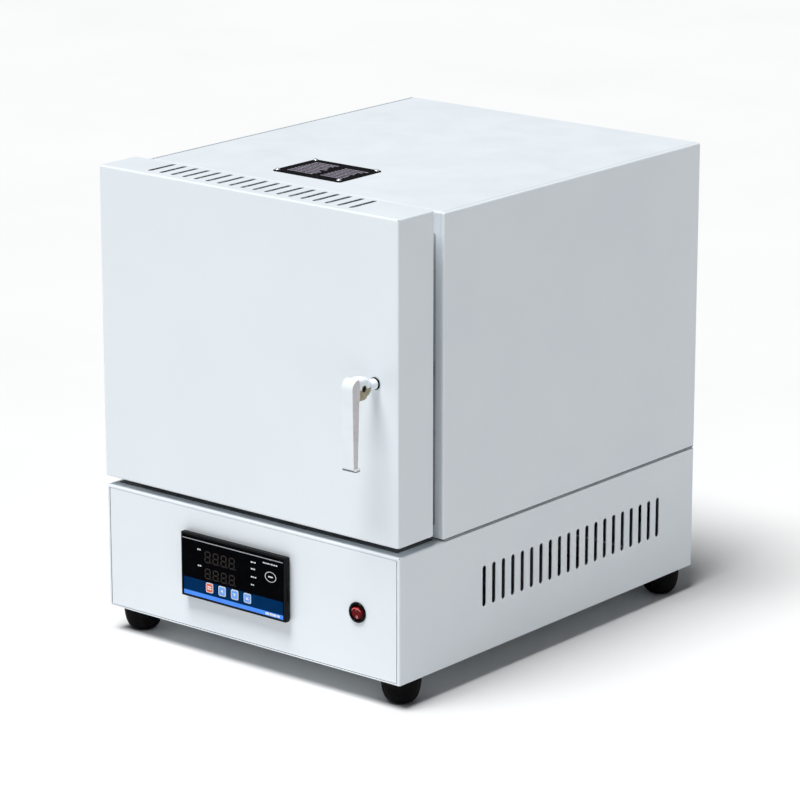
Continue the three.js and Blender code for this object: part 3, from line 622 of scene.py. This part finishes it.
def digit(x, z, width, height, front):
    """Seven bars with pointed ends and a point, leaning a little to the right."""
    lean, thick = 0.06, width * 0.21
    parts = []
    for ends in SEGMENTS:
        a, b = (Vector((x + u * width + lean * v * height, z + v * height)) for u, v in ends)
        along = (b - a).normalized()
        across = Vector((-along.y, along.x)) * thick / 2
        tip = along * thick / 2
        a, b = a + tip * 0.25, b - tip * 0.25
        shape = [a, a + tip + across, b - tip + across, b, b - tip - across, a + tip - across]
        parts.append(printed([tuple(p) for p in shape], front))
    parts.append(printed(circle(x + width * 1.24, z, thick * 0.55, 10), front))
    return parts


def label(x, z, front, strokes, height):
    """A row of short strokes that stands for a printed word."""
    parts = []
    for width in strokes:
        stroke = rectangle(x, x + width, z - height / 2, z + height / 2, 0.2, 2)
        parts.append(printed(stroke, front))
        x += width + 0.8
    return parts


def build_controller():
    low, high = box_mm("controller_case")
    panel = box_mm("base_front_panel")[0].y
    face_low, face_high = box_mm("controller_face")
    front = face_low.y
    keys = {name: box_mm("controller_key_" + name) for name in SYMBOLS}

    def key_wells(start, end):
        return merged(*(prism(front_outline(*box, 0.4, 2.2, 4), start, end, "y")
                for box in keys.values()))

    neck, step, rim = 4, 1.6, 2.2
    bezel = block(low, (high.x, panel - 2.2, high.z), 1.1, 3)
    foot = prism(front_outline(low, high, -step), panel - 4, panel - 0.3, "y")
    rear = block((low.x + neck, panel - 1, low.z + neck),
        (high.x - neck, high.y, high.z - neck), 1.5, 2)
    recess = prism(front_outline(low, high, -rim, 1.4, 4), low.y - 3, face_high.y + 0.3, "y")
    notch = block((high.x - 0.8, low.y - 3, 97), (high.x + 3, low.y + 4.5, 112))
    case = cut(combined("UNION", bezel, foot, rear), recess, key_wells(low.y - 4, low.y + 7), notch)
    piece("controller_housing", case, BLACK, "black_plastic", "controller_case", angle=32)

    plate = prism(front_outline(face_low, face_high, 0, 1.2, 4), front, face_high.y, "y")
    piece("controller_overlay", cut(plate, key_wells(front - 2, front + 4)), DISPLAY,
        "display_face", "controller_face")
    left, right = low.x + 3.6, high.x - 4.1
    band = printed(rectangle(left, right, 80.3, 96), front)
    digits = []
    for i in range(4):
        x = -59.5 + i * DIGIT_PITCH
        digits += digit(x, 119.2, 7.4, 12.6, front) + digit(x, 99.9, 7.2, 11.3, front)
    marks = []
    for x, z, strokes, height in LABELS:
        marks += label(x, z, front, strokes, height)
    lift = -PRINT_THICK
    oval = [(7.6, 0.02), (8.4, 0.02), (8.4, lift), (7.6, lift), (7.6, 0.02)]
    marks.append(lathe(oval, (40, 122), "y", 40, 0.72, front))
    marks.append(printed(rectangle(36.4, 43.6, 121.2, 122.8, 0.7, 3), front))
    prints = [
        ("band", [cut(band, key_wells(front - 2, front + 4))], NAVY),
        ("stripe", [printed(rectangle(left, right, 75.3, 80.3), front)], SKY),
        ("line", [printed(rectangle(left - 1.6, right, 142, 143), front)], GREY_PRINT),
        ("digits", digits, SEGMENT),
        ("marks", marks, PRINT),
        ("footer", label(32, 77.8, front + lift, [5.4, 3.2, 6.2, 4.2], 2.9), PRINT),
    ]
    for name, parts, material in prints:
        piece("controller_" + name, merged(*parts), material, "display_face",
            angle=20 if name == "digits" else 35)

    for name, (key_low, key_high) in keys.items():
        x, cap, z = (key_low.x + key_high.x) / 2, key_low.y, (key_low.z + key_high.z) / 2
        body = "key_" + name
        slot, color = ("key_red", KEY_RED) if name == "set" else ("key_blue", KEY_BLUE)

        def pad(grow, radius, steps, start, end):
            return prism(front_outline(key_low, key_high, grow, radius, steps), start, end, "y")

        whole = merged(pad(0, 2, 5, cap + 0.25, key_high.y),
            pad(-0.2, 1.9, 5, cap + 0.06, cap + 0.24))
        piece(body + "_cap", whole, KEY_RIM, slot, "controller_key_" + name, body)
        piece(body + "_field", pad(-0.9, 1.3, 4, cap + 0.01, cap + 0.05), color, slot, body=body)
        shapes = [prism([(x + u, z + v) for u, v in shape], cap - 0.04, cap, "y")
            for shape in SYMBOLS[name]]
        piece(body + "_symbol", merged(*shapes), PRINT, slot, body=body)


# ---- mains switch

ROCKER_REST = radians(8)
ROCKER_WIDTH = 8.55
ROCKER_HEIGHT = 7.6


def build_switch():
    low, high = box_mm("switch_body")
    x, _, z = centre_mm("switch_body")
    front, panel = low.y, box_mm("base_front_panel")[0].y
    radius = (high.x - low.x) / 2 - 0.3
    well = 9
    deep = panel - front
    profile = [(0, deep + 24), (9.2, deep + 24), (10, deep + 23), (10, deep - 0.3),
        (radius, deep - 0.3), (radius, deep - 1.1), (radius - 0.5, 0.35), (radius - 1.3, 0),
        (well + 0.7, 0), (well, 0.7), (well, 12), (0, 12)]
    blades = [block((x - 3, panel + 23.5, z + side * 5 - 0.4), (x + 3, high.y, z + side * 5 + 0.4),
        0.2, 1) for side in (-1, 1)]
    body = merged(lathe(profile, (x, z), "y", 72, start=front), *blades)
    piece("switch_housing", body, BLACK_GLOSS, "black_plastic", "switch_body", angle=40)

    slope = tan(ROCKER_REST)

    def oval(share, angle):
        """Across and up from the middle, at a share of the way to the rocker's edge."""
        return share * ROCKER_WIDTH * cos(angle), share * ROCKER_HEIGHT * sin(angle)

    def face_point(share, angle):
        u, v = oval(share, angle)
        return Vector((u, face_depth(v, share), v))

    def face_depth(v, share):
        valley = 5.2 + sqrt((v * slope) ** 2 + 0.15)
        return 1.1 * max(0, share - 0.82) ** 2 / 0.0324 - valley

    sides, rings = 56, 9
    around = [tau * i / sides for i in range(sides)]
    vertices = [Vector((0, face_depth(0, 0), 0))]
    for ring in range(1, rings + 1):
        share = 1 - (1 - ring / rings) ** 1.4
        vertices += [face_point(share, angle) for angle in around]
    for depth, shrink in ((-2, 1), (2.6, 0.86), (3.4, 0.78)):
        vertices += [to_axis(*oval(shrink, angle), depth, "y") for angle in around]
    layers = rings + 3
    faces = [(0, 1 + i, 1 + (i + 1) % sides) for i in range(sides)]
    faces += ring_faces(layers, sides, 1)
    faces.append(tuple(1 + (layers - 1) * sides + i for i in range(sides)))
    tilt = Matrix.Translation((x, front + 6, z)) @ Matrix.Rotation(ROCKER_REST, 4, "X")
    piece("rocker_cap", placed(from_pydata(vertices, faces), tilt), ROCKER_RED, "rocker_red",
        "switch_rocker", "rocker", **UNEVEN)

    ring = lathe([(0.95, 0), (1.6, 0), (1.6, -0.1), (0.95, -0.1), (0.95, 0)], (0, -4.3), "y", 28)
    marks = merged(ring, prism(rectangle(-0.28, 0.28, 3, 5.6, 0.2, 2), -0.1, 0, "y"))
    for vertex in marks.verts:
        vertex.co.y += face_depth(vertex.co.z, 0) + 0.02
    piece("rocker_marks", placed(marks, tilt), ROCKER_MARK, "rocker_red", body="rocker")

    # A rib in pale red along the upper rim, as a painted highlight.
    arc = [face_point(0.83, radians(32 + i * 5)) + Vector((0, 0.15, 0)) for i in range(25)]
    piece("rocker_highlight_rib", placed(tube(arc, 0.6, 12), tilt), ROCKER_HIGHLIGHT, "rocker_red", body="rocker",
        angle=60)


# ---- case

# The case stands on a gasket, which is set back from its faces and reads as a dark line.
GASKET_THICK = 1.5
GASKET_SETBACK = 1
LID_SEAM = 0.9
MOUTH_HALF = (160, 140)
FRAME_HALF_WIDTH = 208.4
PROBE_HOLE = 5


def standing_box(node):
    """The box of a case wall, with its lower edge raised to the gasket's top."""
    low, high = box_mm(node)
    return low + Vector((0, 0, GASKET_THICK)), high


def build_case():
    for name, near, far in (("left", SHEET, -5), ("right", -5, SHEET)):
        low, high = standing_box("case_side_" + name)
        rim = high.x if name == "left" else low.x
        shell = block(low, high, BEND, 4,
            lambda middle: min(abs(middle.z - low.z), abs(middle.x - rim)) > NEAR)
        hollow = shrunk(low, high, (near, SHEET, -5), (far, SHEET, SHEET))
        piece("case_cheek_" + name, cut(shell, hollow), ENAMEL, "enamel", "case_side_" + name)

    low, high = box_mm("case_side_left")[0], box_mm("case_side_right")[1]
    high.z = low.z + GASKET_THICK - 0.05
    setback = (GASKET_SETBACK, GASKET_SETBACK, 0)
    floor_low, floor_high = box_mm("case_floor")
    floor_low.z, floor_high.z = low.z - 3, high.z + 3
    within = shrunk(floor_low, floor_high, (-0.1, -0.1, 0), (-0.1, -0.1, 0))
    piece("case_gasket", cut(shrunk(low, high, setback, setback), within), GASKET, "enamel")

    low, high = standing_box("case_front_plate")
    middle_z = centre_mm("lining_back")[2]
    half_x, half_z = MOUTH_HALF

    def mouth():
        outline = rectangle(-half_x, half_x, middle_z - half_z, middle_z + half_z, 4, 5)
        return prism(outline, low.y - 5, low.y + 5, "y")

    plate = block(low, high, BEND, 4,
        lambda middle: max(abs(middle.y - low.y), abs(middle.z - high.z)) < NEAR)
    plate = cut(plate, shrunk(low, high, (-5, SHEET, -5), (-5, -5, SHEET)), mouth())
    piece("case_mouth_plate", plate, ENAMEL, "enamel", "case_front_plate")
    outer = rectangle(-FRAME_HALF_WIDTH, FRAME_HALF_WIDTH, low.z + 14, high.z - 24, 3, 4)
    mouth_frame = cut(prism(outer, low.y - 0.27, low.y - 0.03, "y"), mouth())
    piece("case_mouth_frame", mouth_frame, STAINLESS, "plated_steel")

    low, high = box_mm("case_top")
    lid = shrunk(low, high, (LID_SEAM, LID_SEAM, 0), (LID_SEAM, 0, 0), 0.6, 3)
    piece("case_lid", lid, ENAMEL, "enamel", "case_top")
    seal = shrunk(low, high, (0.02, 0.02, 0), (0.02, 0.5, 0.6))
    clear = LID_SEAM - 0.05
    lid_room = shrunk(low, high, (clear, clear, -3), (clear, -3, -3))
    piece("case_lid_seal", cut(seal, lid_room), GASKET, "enamel")

    low, high = standing_box("case_rear_panel")
    hole = bar(0, centre_mm("thermocouple_sheath")[2], PROBE_HOLE, low.y - 3, high.y + 3, "y", 24)
    panel = cut(block(low, high, 0.4, 2), hole)
    piece("case_back_sheet", panel, ENAMEL, "enamel", "case_rear_panel")
    inset = 10
    bottom, middle, top = low.z + inset, (low.z + high.z) / 2, high.z - inset
    spots = [(x, high.y, z) for x in (low.x + inset, high.x - inset)
        for z in (bottom, middle, top)]
    spots += [(x, high.y, z) for x in (-100, 100) for z in (bottom, top)]
    screws("case_back_screws", spots, "back", 3.6, 2.2)


def build_nameplate():
    low, high = box_mm("nameplate")
    plate = prism(rectangle(low.x, high.x, low.y, high.y, 3, 6), low.z, high.z, "z")
    piece("nameplate_sheet", plate, ANODISED, "nameplate", "nameplate")
    draw = random.Random("nameplate lines")
    lines = []
    # A block of rows is (left, right, front, rear, how many, the least filled share of a row).
    blocks = [(0.12, 0.52, 0.14, 0.86, 9, 0.7), (0.6, 0.94, 0.16, 0.8, 8, 0.75)]
    span_x, span_y = high.x - low.x, high.y - low.y
    for left, right, front, rear, rows, share in blocks:
        x0, x1 = low.x + left * span_x, low.x + right * span_x
        y0, y1 = low.y + front * span_y, low.y + rear * span_y
        step = (y1 - y0) / rows
        for row in range(rows):
            x, y = x0, y1 - (row + 0.5) * step
            stop = x0 + (x1 - x0) * draw.uniform(share, 1)
            while x < stop:
                width = draw.uniform(1.4, 4.6)
                dash = rectangle(x, min(x + width, x1), y - step * 0.3, y + step * 0.3)
                lines.append(prism(dash, high.z - 0.01, high.z + 0.05, "z"))
                x += width + draw.uniform(0.5, 0.9)
    piece("nameplate_lines", merged(*lines), PLATE_PRINT, "nameplate")
    for corner in ("front_left", "front_right", "back_left", "back_right"):
        node = "nameplate_screw_" + corner
        low, high = box_mm(node)
        x, y, _ = centre_mm(node)
        head = pan_screw((high.x - low.x) / 2, high.z - low.z)
        piece("nameplate_head_" + corner, placed(head, Matrix.Translation((x, y, low.z))),
            BRIGHT_STEEL, "plated_steel", node)


# ---- lining and heating

CHAMBER_HALF = 100


def rough_block(low, high, radius, step, depth, seed):
    """A board with worn edges and a slightly uneven face, never larger than its box."""
    bm = block(low, high, radius, 3)
    for axis in range(3):
        count = int((high[axis] - low[axis]) / step)
        for i in range(1, count):
            at = low[axis] + i * (high[axis] - low[axis]) / count
            if min(at - low[axis], high[axis] - at) < radius * 1.2:
                continue
            plane, direction = Vector(), Vector()
            plane[axis], direction[axis] = at, 1
            geometry = bm.verts[:] + bm.edges[:] + bm.faces[:]
            bmesh.ops.bisect_plane(bm, geom=geometry, plane_co=plane, plane_no=direction)
    bm.normal_update()
    moves = []
    for vertex in bm.verts:
        spot = vertex.co * 0.03 + Vector((seed * 7.1, seed * 3.3, seed))
        amount = depth * (0.5 + 0.5 * noise.noise(spot))
        amount += depth * 0.5 * (0.5 + 0.5 * noise.noise(spot * 6))
        moves.append((vertex, vertex.normal * -amount))
    for vertex, move in moves:
        vertex.co += move
    return bm


def element_path(side):
    """A heating element's run to and fro up a wall.

    Gives its x, its centre line, the heights of its ends, the rise from one pass to the next, and
    where its tails start and end.
    """
    low, high = box_mm("element_" + side)
    x = (low.x + high.x) / 2
    half = (high.x - low.x) / 2
    first, last = low.z + half, high.z - half
    pitch = (last - first) / 3
    radius = pitch / 2
    front = low.y + half + radius
    chamber_back = box_mm("lining_left")[1].y
    back = chamber_back - 16 - radius - half
    start = chamber_back - 9
    points = []
    passes = ((start, front, -1), (front, back, 1), (back, front, -1), (front, start, 0))
    for level, (begin, end, turn) in enumerate(passes):
        z = first + level * pitch
        count = int(abs(end - begin) / 1.5)
        points += [Vector((x, begin + (end - begin) * i / count, z)) for i in range(count)]
        for i in range(37 * abs(turn)):
            angle = pi * i / 37 - pi / 2
            y = end + turn * radius * cos(angle)
            points.append(Vector((x, y, z + radius + radius * sin(angle))))
    points.append(Vector((x, start, last)))
    return x, points, (first, last), pitch, start, high.y


def build_element(side):
    x, points, ends, pitch, start, tail = element_path(side)
    coil, turn, travelled = 3.3, 4.6, 0
    helix = []
    for point, following in zip(points, points[1:]):
        ahead = following - point
        length = ahead.length
        across = Vector((1, 0, 0))
        up = ahead.normalized().cross(across)
        steps = max(1, round(length / 0.42))
        for step in range(steps):
            share = step / steps
            angle = tau * (travelled + share * length) / turn
            offset = coil * (cos(angle) * across + sin(angle) * up)
            helix.append(point.lerp(following, share) + offset)
        travelled += length
    wires = [tube(helix, 0.65, 5)]
    count = 90
    for z in ends:
        for phase in (0, pi):
            twist = []
            for i in range(count + 1):
                y = start + 1.5 + (tail - start - 1.5) * i / count
                angle = phase + tau * i / 12
                twist.append((x + 0.95 * cos(angle), y, z + 0.95 * sin(angle)))
            wires.append(tube(twist, 0.85, 6))
    piece("coil_" + side, merged(*wires), HEATING_WIRE, "element_wire", "element_" + side, **WIRY)
    sign = -1 if side == "left" else 1
    root, reach = sign * CHAMBER_HALF + sign * 6, x - sign * 3.4
    shoulder = reach + sign * 1.4
    staples = []
    for row in range(4):
        z = ends[0] + row * pitch
        for y in (-140, -84, -28, 28):
            staple = [(root, y, z - 4.8), (shoulder, y, z - 4.8), (reach, y, z - 3.4),
                (reach, y, z + 3.4), (shoulder, y, z + 4.8), (root, y, z + 4.8)]
            staples.append(tube(staple, 0.5, 6))
    piece("staples_" + side, merged(*staples), HEATING_WIRE, "element_wire", **WIRY)


def build_lining():
    for seed, name in enumerate(("floor", "roof", "left", "right"), 1):
        node = "lining_" + name
        piece("fibre_" + name, rough_block(*box_mm(node), 1.2, 16, 0.35, seed), FIBRE, "fibre",
            node, **UNEVEN)
    low, high = box_mm("lining_back")
    through = (low.y - 5, high.y + 5, "y", 24)
    holes = [bar(0, centre_mm("thermocouple_sheath")[2], PROBE_HOLE, *through)]
    for side in ("left", "right"):
        x, _, ends, *_ = element_path(side)
        holes += [bar(x, z, 6, *through) for z in ends]
    board = cut(rough_block(low, high, 1.2, 16, 0.35, 5), merged(*holes))
    piece("fibre_back", board, FIBRE, "fibre", "lining_back", **UNEVEN)
    hearth = rough_block(*box_mm("hearth_plate"), 1.8, 20, 0.3, 6)
    piece("hearth_slab", hearth, HEARTH, "hearth", "hearth_plate", **UNEVEN)
    build_element("left")
    build_element("right")

    low, high = box_mm("thermocouple_sheath")
    radius = (high.z - low.z) / 2
    length = high.y - low.y
    profile = [(0, 0), (radius * 0.6, 0.5), (radius * 0.9, 1.6), (radius, 3.4), (radius, length),
        (0, length)]
    sheath = lathe(profile, (0, (low.z + high.z) / 2), "y", start=low.y)
    piece("probe_sheath", sheath, CERAMIC, "sheath_ceramic", "thermocouple_sheath", angle=40)


def build_probe_head():
    low, high = box_mm("thermocouple_head")
    z = (low.z + high.z) / 2
    start, end = low.y, high.y
    deep = end - start
    profile = [(0, 0), (22, 0), (22, 2.4), (21.4, 3), (10, 3.2), (9, 4.2), (9, 11), (10, 12),
        (18.6, 12.4), (20, 13.4), (20.4, 15), (20.4, 23), (19.6, 23.4), (19.6, 24),
        (21, 24.4), (21, deep - 4), (20.6, deep - 2.4), (19.2, deep - 1),
        (17, deep - 0.3), (0, deep)]
    piece("probe_head", lathe(profile, (0, z), "y", 64, start=start), HEAD_ENAMEL,
        "sheath_ceramic", "thermocouple_head", angle=32)
    flange = [(18 * cos(a), start + 3, z + 18 * sin(a)) for a in (0.5, 2.6, 3.7, 5.7)]
    screws("probe_flange_screws", flange, "back", 2.2, 1.5)
    ribs = ring_of(24, 0, z, (20.4, end - 12.5, -0.8), (21, end - 4.5, 0.8), 0.25)
    piece("probe_cap_ribs", ribs, HEAD_ENAMEL, "sheath_ceramic")


def ring_of(count, x, z, low, high, radius):
    """Ribs, drawn as one block at the right of an axis that runs along y, then set round it."""
    ribs = []
    for i in range(count):
        turn = Matrix.Rotation(tau * i / count, 4, "Y")
        ribs.append(placed(block(low, high, radius, 2), Matrix.Translation((x, 0, z)) @ turn))
    return merged(*ribs)


def build_gland():
    low, high = box_mm("cable_gland")
    x, _, z = centre_mm("cable_gland")
    panel = box_mm("base_rear_panel")[1].y + 0.3
    hole = 5.5
    hexagon = lathe([(hole, 0), (14.2, 0), (15, 0.8), (15, 7.2), (14.2, 8), (hole, 8), (hole, 0)],
        (x, z), "y", 6, start=panel)
    thread = []
    place = low.y
    while place < panel - 0.4:
        thread += [(9.1, place), (9.8, place + 0.5), (9.1, place + 1)]
        place += 1.25
    neck = lathe([(hole, low.y), *thread, (9.1, panel - 0.1), (hole, panel - 0.1), (hole, low.y)],
        (x, z), "y", 36)
    tip = high.y - panel
    nut = lathe([(hole, 8.1), (12.2, 8.1), (12.5, 8.6), (12.4, 15), (11.6, 20), (9.4, 23.4),
        (8, tip), (6.4, tip), (hole, tip - 1), (hole, 8.1)], (x, z), "y", 48, start=panel)
    piece("gland_parts", merged(hexagon, neck, nut), BLACK, "black_plastic", "cable_gland",
        angle=32)
    ribs = ring_of(12, x, z, (11.6, panel + 9, -0.9), (12.9, panel + 17, 0.9), 0.4)
    piece("gland_ribs", ribs, BLACK, "black_plastic")


# ---- power parts in the base

def build_power():
    low, high = box_mm("solid_state_relay")
    top = high.z - 3
    wells, posts = [], []
    for sx in (0.18, 0.82):
        for sy in (0.12, 0.88):
            x, y = low.x + sx * (high.x - low.x), low.y + sy * (high.y - low.y)
            well = rectangle(x - 5, x + 5, y - 5, y + 5, 0.8, 3)
            wells.append(prism(well, top - 5, top + 2, "z"))
            posts.append((x, y, top - 5.05))
    body = cut(block(low, (high.x, high.y, top), 1.6, 3), merged(*wells))
    piece("relay_case", body, RELAY, "relay_housing", "solid_state_relay")
    screws("relay_screws", posts, "up", 3.6, 2.6)
    low, high = box_mm("terminal_block")
    spots = []
    for i in range(4):
        x = low.x + (i + 0.5) * (high.x - low.x) / 4
        spots += [(x, low.y + 8, low.z + 14), (x, high.y - 8, low.z + 14)]
    screws("terminal_screws", spots, "up", 3.2, 2.4)


# ---- door, hinges and latch

# Places of the slots in the door's top and bottom, and their front and rear ends and width.
DOOR_SLOTS = [-6.5 + 17.46 * (i - 8.5) for i in range(18)]
DOOR_SLOT = (13, 57, 5.6)
SHAFT_HOLE = 5


def build_door():
    low, high = box_mm("door_shell")
    x, _, z = centre_mm("handle_shaft")
    inner = shrunk(low, high, (SHEET, SHEET, SHEET), (SHEET, -5, SHEET))
    front, rear, width = DOOR_SLOT
    row = (DOOR_SLOTS, low.y + front, low.y + rear, width)
    top = slots(*row, high.z - 5, high.z + 5, "z")
    bottom = slots(*row, low.z - 5, low.z + 5, "z")
    hole = bar(x, z, SHAFT_HOLE, low.y - 5, low.y + 5, "y", 24)
    # The pan's inside faces get the dark painted shade.
    pan = lined(cut(block(low, high, BEND, 4), inner, top, bottom, hole), low, high)
    piece("door_pan", pan, [ENAMEL, INNER_SHADE_SHEET], "enamel", "door_shell", "door")

    low, high = box_mm("door_back_plate")
    plug_low, plug_high = box_mm("door_plug")
    through = (low.y - 5, high.y + 5, "y")
    window = prism(front_outline(plug_low, plug_high, 1, 5), *through)
    hole = bar(x, z, SHAFT_HOLE, *through, 24)
    plate = cut(block(low, high, 0.4, 2), window, hole)
    piece("door_back_sheet", plate, ENAMEL, "enamel", "door_back_plate", "door")
    inset = 9
    spots = [(x, high.y, z) for x in (-90, 90) for z in (low.z + inset, high.z - inset)]
    spots += [(high.x - inset, high.y, z) for z in (low.z + inset, high.z - inset, 300)]
    screws("door_back_screws", spots, "back", 3.2, 2, "door")

    plug = rough_block(plug_low, plug_high, 3, 16, 0.4, 8)
    piece("plug_fibre", plug, FIBRE, "fibre", "door_plug", "door", **UNEVEN)
    blanket = rough_block(*box_mm("door_blanket"), 4, 18, 1.2, 9)
    piece("blanket_fibre", blanket, BLANKET, "fibre", "door_blanket", "door", **WIRY)


def build_hinges():
    for level in ("lower", "upper"):
        for part, body in (("door", "door"), ("case", "kiln_body")):
            node = f"hinge_{level}_{part}"
            low, high = box_mm(node + "_leaf")
            x, z = high.x - 8, (low.z + high.z) / 2
            y, facing = (low.y + 2, "back") if part == "door" else (high.y - 2, "front")
            spots = [(x, y, z + dz) for dz in (-17, 0, 17)]
            screws(node + "_screws", spots, facing, 3, 1.5, body)
    low, high = box_mm("latch_keeper")
    spots = [((low.x + high.x) / 2, high.y - 2, low.z + dz) for dz in (12, 23)]
    screws("keeper_screws", spots, "front", 2.8, 1.4)


def build_handle():
    low, high = box_mm("handle_lever")
    x, _, z = centre_mm("handle_shaft")
    reach, back = low.y, high.y
    neck_front = reach + 34
    top, bottom, rise = high.z, low.z + 0.5, high.z - z
    half = 8.2
    section = rounded([(reach, top), (reach + 2.1, bottom), (reach + 9, bottom),
        (reach + 9.4, bottom + 6), (reach + 12, z - rise), (reach + 12, top)],
        [10, 3.6, 2.6, 0, 1, 1], 8)
    grip = prism(section, x - half, x + half, "x")
    hub = block((x - half, reach + 7, z - rise + 0.3), (x + half, reach + 28.5, top - 0.1), 5.5, 6)
    shoulder = lathe([(0, 16), (8.1, 16), (8.1, 27), (7.8, 29.6), (7.2, 32), (6.4, 34), (0, 34)],
        (x, z), "y", 56, 1.5, reach)
    neck = lathe([(0, neck_front - 3), (6.3, neck_front - 3), (6.3, back - 0.6), (5.8, back),
        (0, back)], (x, z), "y", 48)
    lip = block((x - 10.2, reach + 2.8, low.z + 0.05), (x + 10.2, reach + 12, low.z + 3.8), 1.6, 4)
    target = shown_object("draft", combined("UNION", grip, hub, shoulder, neck, lip))
    remesh = target.modifiers.new("cast", "REMESH")
    remesh.mode = "VOXEL"
    remesh.voxel_size = 0.55
    smooth = target.modifiers.new("soft", "SMOOTH")
    smooth.factor = 0.5
    smooth.iterations = 9
    cast = evaluated(target)
    screw_low, screw_high = box_mm("handle_set_screw")
    _, screw_y, screw_z = centre_mm("handle_set_screw")
    screw_radius = (screw_high.z - screw_low.z) / 2
    base, tip = screw_low.x, screw_high.x
    seat, hole_radius = base - 0.1, screw_radius + 0.1
    lever = cut(cast, bar(x, z, 4.3, reach + 20, back + 3, "y"),
        bar(screw_y, screw_z, hole_radius, seat, x + 14, "x"))
    lever.normal_update()
    grip_back = reach + 12.4
    for face in lever.faces:
        spot, normal = face.calc_center_median(), face.normal
        on_hub = grip_back < spot.y < neck_front - 0.5
        from_screw = hypot(spot.y - screw_y, spot.z - screw_z)
        in_hole = spot.x > seat - 1 and from_screw < hole_radius + 0.2
        # The hole gets bare casting; the hub's lower half gets the same khaki as painted shade and
        # reflection.
        if in_hole or (on_hub and spot.z < screw_z - 0.5 and normal.z < 0.35):
            face.material_index = 1
        # The down-facing faces of the bottom lip get painted shade.
        elif spot.z < low.z + 3 and normal.z < -0.1:
            face.material_index = 2
        # The grip's side faces get the greyer copy of the glaze, as painted shade.
        elif spot.y < grip_back and abs(normal.x) > 0.75:
            face.material_index = 3
    piece("lever_cast", lever, [LEVER_WHITE, BARE_CAST_AND_SHADE, LEVER_UNDER_SHADE, LEVER_SIDE_SHADE], "lever_enamel",
        "handle_lever", "handle", **UNEVEN)

    length = tip - base
    grub = lathe([(0, 0), (screw_radius, 0), (screw_radius, length - 0.3),
        (screw_radius - 0.3, length), (0, length)], (screw_y, screw_z), "x", 24,
        start=base)
    socket = bar(screw_y, screw_z, 1.7, tip - 1.2, tip + 2, "x", 6)
    piece("grub_screw", cut(grub, socket), DARK_STEEL, "plated_steel", "handle_set_screw",
        "handle")

    low, high = box_mm("handle_bush")
    radius = (high.x - low.x) / 2
    ring = [(4.3, high.y), (radius, high.y), (radius, low.y + 0.5), (radius - 0.5, low.y),
        (4.3, low.y), (4.3, high.y)]
    piece("bush_ring", lathe(ring, (x, z), "y", 48), BLACK_GLOSS, "black_plastic", "handle_bush",
        "door")
    nut = lathe([(0, 0), (5, 0), (5.6, 0.4), (5.6, 2.2), (5, 2.6), (0, 2.6)], (x, z), "y", 6,
        start=box_mm("latch_cam")[1].y)
    piece("cam_nut", nut, BRIGHT_STEEL, "plated_steel", body="handle")


# ---- CAD nodes that keep their own shape

# The rest of them, the hinge leaves, the shaft, the cam and the keeper, are plated steel.
KEPT_FINISH = {"case_floor": ENAMEL, "controller_clamp_left": BLACK,
    "controller_clamp_right": BLACK, "relay_heatsink": ALUMINIUM,
    "terminal_block": RELAY}


def dress_cad_nodes():
    for name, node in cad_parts.items():
        if node.hide_render:
            continue
        for material_slot in node.material_slots:
            material_slot.material = KEPT_FINISH.get(name, STEEL)


make_camera()
make_studio()
build_base()
build_feet()
build_controller()
build_switch()
build_case()
build_nameplate()
build_lining()
build_probe_head()
build_gland()
build_power()
build_door()
build_hinges()
build_handle()
dress_cad_nodes()
